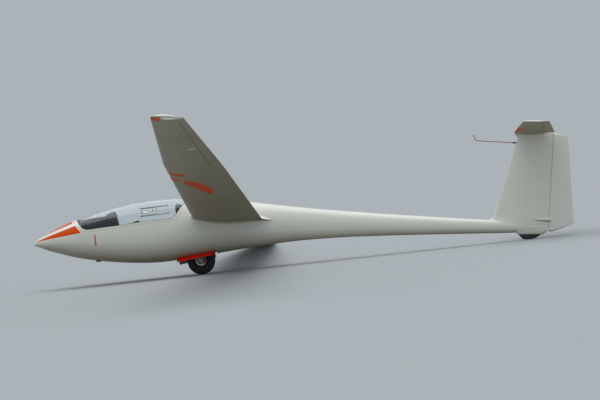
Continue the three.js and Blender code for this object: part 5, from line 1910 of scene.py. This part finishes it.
def rounded(value, power):
    return math.copysign(abs(value) ** power, value)


def buildHeadrest(s):
    # pillow that leans forward at its top, with a seam round its edge
    (x0, x1), (z0, z1) = s["x"], s["z"]
    deep, tall, wide = [v - s["smaller"] for v in ((x1 - x0) / 2, (z1 - z0) / 2, s["half"])]
    (deepPower, deepDraw), (tallPower, tallDraw) = s["deepShape"], s["tallShape"]
    middle = Vector(((x0 + x1) / 2, 0, (z0 + z1) / 2))
    rings = []
    for t in spread(-1, 1, 33):
        edge = endRound(1 - abs(t) + 0.01, 0.3)
        ring = []
        for cos, sin in circle(40):
            aft = deep * rounded(cos, deepPower) * (1 - deepDraw + deepDraw * edge) - s["lean"] * sin
            up = tall * rounded(sin, tallPower) * (1 - tallDraw + tallDraw * edge)
            ring.append(middle + Vector((aft, t * wide, up)))
        rings.append(ring)

    def onStem(p):
        return abs(p.x - s["stemX"]) < 0.03 and abs(p.y) < 0.035 and p.z < z0 + 0.02

    verts, faces = swell(loft(rings), s["voxel"], s["cap"], onStem)
    sewn = []
    for p in verts:
        out = p - middle
        away = out.x + s["seamSlope"] * out.z
        sewn.append(p - out.normalized() * s["seam"] * math.exp(-(away / s["seam"]) ** 2))
    x, floor, top = s["stemX"], s["floor"], z0 + s["stemInside"]
    stem = [roundBlock((x, side * s["stemY"], (floor + top) / 2), (*s["stem"], top - floor), 0.002)
            for side in (-1, 1)]
    plate = roundBlock((x, 0, floor + 0.003), s["foot"], 0.0015)
    return (sewn, faces), joinShapes(*stem, plate)


stickSet = {
    "x": 0.886, "foot": -0.330, "bend": -0.150, "grip": -0.060, "radius": 0.0095,
    "bootRings": 15, "bootHeight": 0.062, "bootRadius": (0.043, 0.013), "fold": 0.0022,
    "gripRadius": 0.0155, "gripSwell": 0.0018,
    "button": [(0, 0), (0.005, 0), (0.005, 0.003), (0.0035, 0.005), (0, 0.005)],
}


def buildStick(s):
    x, foot, bend, top = s["x"], s["foot"], s["bend"], s["grip"]
    path = [(x, 0, foot), (x + 0.008, 0, foot + 0.05), (x + 0.022, 0, bend - 0.02), (x + 0.026, 0, bend)]
    column = tube(path, s["radius"], 16)
    wide, narrow = s["bootRadius"]
    folds = [(wide + (narrow - wide) * t + s["fold"] * (-1) ** k, foot - 0.001 + s["bootHeight"] * t)
             for k, t in enumerate(spread(0, 1, s["bootRings"]))]
    boot = turned([(0.009, folds[0][1])] + folds + [(0.009, folds[-1][1])], (x + 0.003, 0, 0), (0, 0, 1), 32)
    rings = []
    for t in spread(0, 1, 16):
        centre = Vector((x + 0.026 - 0.014 * t, 0, bend - 0.008 + (top - bend + 0.008) * t))
        fingers = s["gripSwell"] * math.sin(6 * math.pi * t) if 0.2 < t < 0.85 else 0
        r = (s["gripRadius"] + fingers + 0.002 * t) * (0.8 if t > 0.93 else 1)
        rings.append([centre + Vector((r * 1.1 * cos, r * sin, 0)) for cos, sin in circle(24)])
    button = turned(s["button"], (x + 0.012, 0, top - 0.001), (0, 0, 1), 16)
    return column, boot, loft(rings), button


leverSet = {
    # name, place along the cockpit, side, height, reach inwards, knob's radius, knob's paint
    "levers": [("airbrake_lever", 1.130, -1, -0.118, 0.054, 0.015, "blueKnob"),
               ("trim_lever", 1.250, -1, -0.190, 0.040, 0.011, "greenKnob"),
               ("gear_lever", 1.120, 1, -0.130, 0.054, 0.015, "black")],
    "railInner": 0.262, "rail": (0.18, 0.030), "slot": (0.15, 0.002, 0.010), "wallGap": 0.0147,
    "handle": 0.240, "arm": 0.0065, "rise": 0.022, "knobHalf": 0.036,
}


def buildLever(s, x, side, z, reach, knob):
    handle = (s["handle"] - reach / 4) * side
    wall, inner = skinSide(x, z, s["wallGap"]), s["railInner"]
    length, high = s["rail"]
    rail = roundBlock((x, side * (inner + wall) / 2, z), (length, wall - inner, high), 0.003)
    slot = roundBlock((x, side * (inner - 0.0005), z), s["slot"], 0.0008)
    path = [(side * (inner + 0.004), 0), (side * (inner - 0.010), 0.006), (handle, s["rise"])]
    arm = tube([(x, y, z + dz) for y, dz in path], s["arm"], 14)
    rings = []
    for t in spread(-1, 1, 17):
        r = knob * (0.82 + 0.18 * math.cos(t * math.pi)) * endRound(1 - abs(t) + 0.01, 0.28)
        rings.append([Vector((x + s["knobHalf"] * t, handle + r * cos, z + s["rise"] + r * sin))
                      for cos, sin in circle(20)])
    return joinShapes(rail, slot), arm, loft(rings)


pedalSet = {
    "plate": (0.008, 0.068, 0.158), "place": (0.4665, -0.187), "y": 0.073, "lean": (0.95, -0.32),
    "bar": (0.005, 0.058, 0.008), "barsAt": (0.2, 0.4, 0.6, 0.8), "barFrom": (0.452, -0.264),
    "barRun": (0.052, 0.152),
    "heel": [(0.452, 0.040, -0.245), (0.462, 0.040, -0.235), (0.462, 0.106, -0.235), (0.452, 0.106, -0.245)],
    "axle": (0.444, 0.104, -0.246), "axleRadius": 0.0085,
    "carriage": [((0.53, 0, -0.266), (0.215, 0.05, 0.044)), ((0.60, 0, -0.2975), (0.07, 0.05, 0.105))],
}


def buildPedals(s):
    dx, dz = s["lean"]
    axes = (Vector((dx, 0, dz)), Vector((0, 1, 0)), Vector((-dz, 0, dx)))
    (x, z), (barX, barZ), (runX, runZ) = s["place"], s["barFrom"], s["barRun"]
    shapes = []
    for side in (-1, 1):
        y = side * s["y"]
        shapes.append(roundBlock((x, y, z), s["plate"], 0.0035, axes))
        for t in s["barsAt"]:
            shapes.append(roundBlock((barX + runX * t, y, barZ + runZ * t), s["bar"], 0.0015, axes))
        shapes.append(tube([(hx, side * hy, hz) for hx, hy, hz in s["heel"]], 0.004, 8))
    x, y, z = s["axle"]
    shapes.append(tube([(x, -y, z), (x, y, z)], s["axleRadius"], 18))
    shapes += [roundBlock(place, size, 0.006) for place, size in s["carriage"]]
    return joinShapes(*shapes)


harnessSet = {
    "width": 0.046, "thick": 0.0022, "steps": 40,
    # a start on the structure, then points on the cushion: part of its length, place across, height over it
    "shoulder": [(1.80, 0.075, 0.085), (0.97, 0.09, 0.012), (0.88, 0.095, 0.006), (0.74, 0.085, 0.006),
                 (0.64, 0.05, 0.010), (0.60, 0.022, 0.016)],
    "lap": [(1.33, 0.235, -0.30), (0.575, 0.17, 0.006), (0.578, 0.10, 0.012), (0.582, 0.03, 0.018)],
    "lapAcross": (1, 0, 0.6), "buckle": (0.585, 0, 0.024), "facing": (-0.55, 0, 0.83),
    "lock": [(0, -0.011), (0.030, -0.011), (0.034, -0.007), (0.034, 0.004), (0.030, 0.008), (0.012, 0.009),
             (0, 0.009)],
    "lever": (0.05, 0.012, 0.010), "tongue": (0.60, 0.024, 0.020), "tongueSize": (0.03, 0.03, 0.004),
}


def strap(points, across, s):
    line = resample(smoothCurve(points, 12), s["steps"])
    rings = []
    for i, p in enumerate(line):
        run = runAt(line, i)
        wide = (across - run * across.dot(run)).normalized()
        up = run.cross(wide)
        rings.append([p + wide * a * s["width"] / 2 + up * b * s["thick"] / 2
                      for a, b in chamfered(0.4, 0.97)])
    return loft(rings)


def onCushion(t, y, lift):
    k = min(int(t * (len(seatLine) - 1)), len(seatLine) - 2)
    q = seatLine[k] + normalAt(seatLine, k) * (cushionSet["high"] + lift)
    return Vector((q.x, y, q.z))


def buildHarness(s):
    right = Vector((0, 1, 0))
    belts, tongues = [], []
    for side in (-1, 1):
        for key, across in (("shoulder", right), ("lap", Vector(s["lapAcross"]))):
            (x, y, z), *rest = s[key]
            points = [Vector((x, side * y, z))] + [onCushion(t, side * y, lift) for t, y, lift in rest]
            belts.append(strap(points, across, s))
        t, y, lift = s["tongue"]
        tongues.append(roundBlock(onCushion(t, side * y, lift), s["tongueSize"], 0.001))
    buckle, out = onCushion(*s["buckle"]), Vector(s["facing"]).normalized()
    lock = turned(s["lock"], buckle, out, 32)
    lever = roundBlock(buckle + out * 0.012, s["lever"], 0.003, (right, out.cross(right), out))
    return joinShapes(*belts), joinShapes(lock, lever, *tongues)


# Assembly
def addSides(name, shape, paint, replaced=None, body=None, inner=None):
    for side, sided in both(shape).items():
        addPiece(f"{name}_{side}", sided, paint, f"{replaced}_{side}" if replaced else None,
                 f"{body}_{side}" if body else "airframe", inner=inner)


def addAll(body, *pieces):
    for piece in pieces:
        addPiece(*piece, body=body)


addPiece("fuselage_skin", cutWell(buildFuselage(bodySet), wellSet), "gelcoat",
         ["cockpit_shell", "centre_fuselage", "tail_boom"])
addPiece("cockpit_liner", buildLiner(bodySet), "liner", sharp=40)
addPiece("wheel_well", buildWell(wellSet), "well")
addPiece("nose_stripes", buildNoseStripes(stripeSet), "orange")
print("stage 4: fuselage built")

# faces in the hollow ahead of each aileron take black paint: painted shade in the gap
wingHollow = inHollow(wingPoint, aileronHinge, wingSet["slot"], lambda p: abs(p.y), *wingSet["aileron"])
addSides("wing_skin", buildWing(wingSet), "gelcoat", "wing",
         inner=("black", lambda p: wingHollow(Vector((p.x, abs(p.y), p.z)))))
addSides("airbrake_box", buildBrakeBox(brakeSet), "well")
addSides("airbrake_blade", buildAirbrake(brakeSet), "gelcoat", "airbrake", "airbrake")
addSides("aileron_skin", buildAileron(wingSet), "gelcoat", "aileron", "aileron")
addSides("wing_fillet", buildWingFillet(filletSet), "gelcoat")
addSides("tip_skid_pad", buildTipSkid(tipSkidSet), "gelcoat", "tip_skid")
addSides("wing_marks", buildMarks(wingPoint, markSet["wing"]), "orange")
addSides("aileron_rod_fairing", buildRodFairing(rodFairingSet), "gelcoat", "rod_fairing")
print("stage 5: wings built")

# faces in the hollows ahead of the rudder and the elevator take black paint: painted shade in the gaps
finHollow = inHollow(finPoint, rudderHinge, finSet["slot"], lambda p: p.z, 0, 1.18)
tailHollow = inHollow(tailPoint, tailHinge, tailSet["slot"], lambda p: p.y, -1.15, 1.15)
elevatorShape, tubeShape = buildElevator(tailSet)
rodShape, collarShape = buildProbe(probeSet)
wedge, stroke = [buildMarks(tailPoint, markSet[key]) for key in ("tailplaneWedge", "tailplaneStroke")]
addPiece("fin_skin", buildFin(finSet), "gelcoat", "fin", inner=("black", finHollow))
addPiece("fin_fillet", buildFinFillet(filletSet), "gelcoat")
addPiece("rudder_skin", buildRudder(finSet), "gelcoat", "rudder", "rudder")
addSides("rudder_drive_fairing", buildDriveFairing(driveSet), "gelcoat", "rudder_fairing")
addPiece("tailplane_skin", buildTailplane(tailSet), "gelcoat", "tailplane", inner=("black", tailHollow))
addPiece("tailplane_marks", joinShapes(mirrorShape(wedge), mirrorShape(stroke), stroke), "orange")
addPiece("elevator_skin", elevatorShape, "gelcoat", "elevator", "elevator")
addPiece("elevator_tube", tubeShape, "steel", body="elevator")
addPiece("skid_fairing", buildSkidFairing(tailSkidSet), "gelcoat")
addPiece("skid_shoe", buildSkidShoe(tailSkidSet), "rubber", "tail_skid")
addPiece("probe_rod", rodShape, "probe", "energy_probe")
addPiece("probe_collar", collarShape, "black")
print("stage 6: tail built")

scoopShape, flapShape = buildScoop(canopySet)
latches = both(buildLatch(canopySet))
coverShape, coverEdge = buildCover(coverSet)
bezels, dials, marks = buildDials(dialSet)
addAll("canopy",
       ("canopy_rim", buildCanopyFrame(canopySet), "gelcoat", "canopy_frame"),
       ("canopy_dome", buildCanopyGlass(canopySet), "perspex", "canopy_glass"),
       ("window_pane", buildWindow(canopySet), "perspex", "sliding_window"))
addPiece("canopy_seal", buildSeal(canopySet), "rubber", body="canopy", slot="black_trim")
addAll("canopy",
       ("window_trim", buildWindowTrim(canopySet), "rail"),
       ("window_scoop", scoopShape, "rail"),
       # the flap's off-white colour is painted light
       ("scoop_flap", flapShape, "tape"),
       ("canopy_latch_left", latches["left"], "black"),
       ("canopy_latch_right", latches["right"], "black"))
addPiece("instrument_hood", coverShape, "black", "instrument_cover", "canopy", sharp=50)
addAll("canopy",
       ("instrument_board", buildPanel(coverSet, coverEdge), "black", "instrument_panel"),
       ("instrument_bezels", bezels, "black"),
       ("instrument_faces", dials, "dial"))
addPiece("instrument_marks", marks, "mark", body="canopy", merge=1e-7)
print("stage 7: canopy built")

addPiece("seat_shell", buildSeatPan(seatSet), "liner", "seat_pan")
cushion = addPiece("seat_pad", buildCushion(cushionSet), "cloth", "seat_cushion", sharp=80)
padShape, stemShape = buildHeadrest(headrestSet)
pad = addPiece("headrest_pad", padShape, "padCloth", "headrest", sharp=80)
column, boot, grip, button = buildStick(stickSet)
belts, buckle = buildHarness(harnessSet)
addAll("airframe",
       ("headrest_stem", stemShape, "steel"),
       ("stick_column", column, "steel", "control_stick"),
       ("stick_boot", boot, "padCloth"),
       ("stick_grip", grip, "black"),
       ("stick_button", button, "redKnob"))
for name, *values, knobPaint in leverSet["levers"]:
    rail, arm, knob = buildLever(leverSet, *values)
    addAll("airframe", (f"{name}_rail", rail, "alloy", name), (f"{name}_arm", arm, "steel"),
           (f"{name}_grip", knob, knobPaint))
addAll("airframe",
       ("pedals", buildPedals(pedalSet), "alloy", "rudder_pedals"),
       ("harness_belts", belts, "webbing"),
       ("harness_buckle", buckle, "steel"))
print("stage 8: cockpit built")

addPiece("tow_release", buildHook(hookSet), "black", "tow_hook", slot="steel")
addAll("wheel",
       ("main_tyre", buildTyre(gearSet), "tyre", "tyre"),
       ("main_rim", buildRim(gearSet), "alloy", "wheel_rim"))
addAll("airframe",
       ("main_fork", buildFork(gearSet), "steel", "gear_fork"),
       ("main_axle", buildAxle(gearSet), "steel", "axle"),
       ("brake_unit", buildCaliper(gearSet), "brake", "brake_caliper"))
for side, sign in (("left", -1), ("right", 1)):
    door, skin = f"gear_door_{side}", gearSet["doorSkin"]
    addPiece(f"door_skin_{side}", doorShape(gearSet, sign, 0.0, skin), "red", door, door)
    addPiece(f"door_lining_{side}", doorShape(gearSet, sign, skin + 0.0001, gearSet["doorThick"]), "well",
             body=door, slot="red_paint")
    addPiece(f"door_hinges_{side}", buildDoorHinges(gearSet, sign), "red")
print("stage 9: landing gear built")


# Floor and light
stageSet = {
    "floorHalf": 500.0, "floorZ": -0.0015,
    "horizon": (0.41, 0.45, 0.48, 1),
    "zenith": 1.8,                   # brightness overhead against the horizon
    "sunStrength": 1.6,
    "sunAngle": 60.0,                # width of the soft lamp in degrees
    "sunFrom": (-0.10, 0.12, 0.98),
}


def buildStage(s):
    half = s["floorHalf"]
    corners = [(x * half, y * half, s["floorZ"]) for x, y in ((-1, -1), (1, -1), (1, 1), (-1, 1))]
    floor = newObject("floor", corners, [(0, 1, 2, 3)])
    floor.data.materials.append(paints["floor"])
    # the world is as bright as the lit floor, so no horizon shows
    world = bpy.data.worlds.new("studio")
    world.use_nodes = True
    tree = world.node_tree
    height = tree.nodes.new("ShaderNodeSeparateXYZ")
    tree.links.new(tree.nodes.new("ShaderNodeTexCoord").outputs["Generated"], height.inputs[0])
    overhead = [min(v * s["zenith"], 1) for v in s["horizon"]]
    sky = mixColor(tree, rampNode(tree, height.outputs["Z"], 0.2, 1), s["horizon"], overhead)
    tree.links.new(sky, tree.nodes["Background"].inputs["Color"])
    bpy.context.scene.world = world
    light = bpy.data.lights.new("softLamp", "SUN")
    light.energy = s["sunStrength"]
    light.angle = math.radians(s["sunAngle"])
    lamp = bpy.data.objects.new("softLamp", light)
    lamp.rotation_euler = Vector(s["sunFrom"]).to_track_quat("Z", "Y").to_euler()
    bpy.context.scene.collection.objects.link(lamp)
    bpy.context.scene.view_settings.view_transform = "Standard"


buildStage(stageSet)
print("stage 10: floor and light placed")
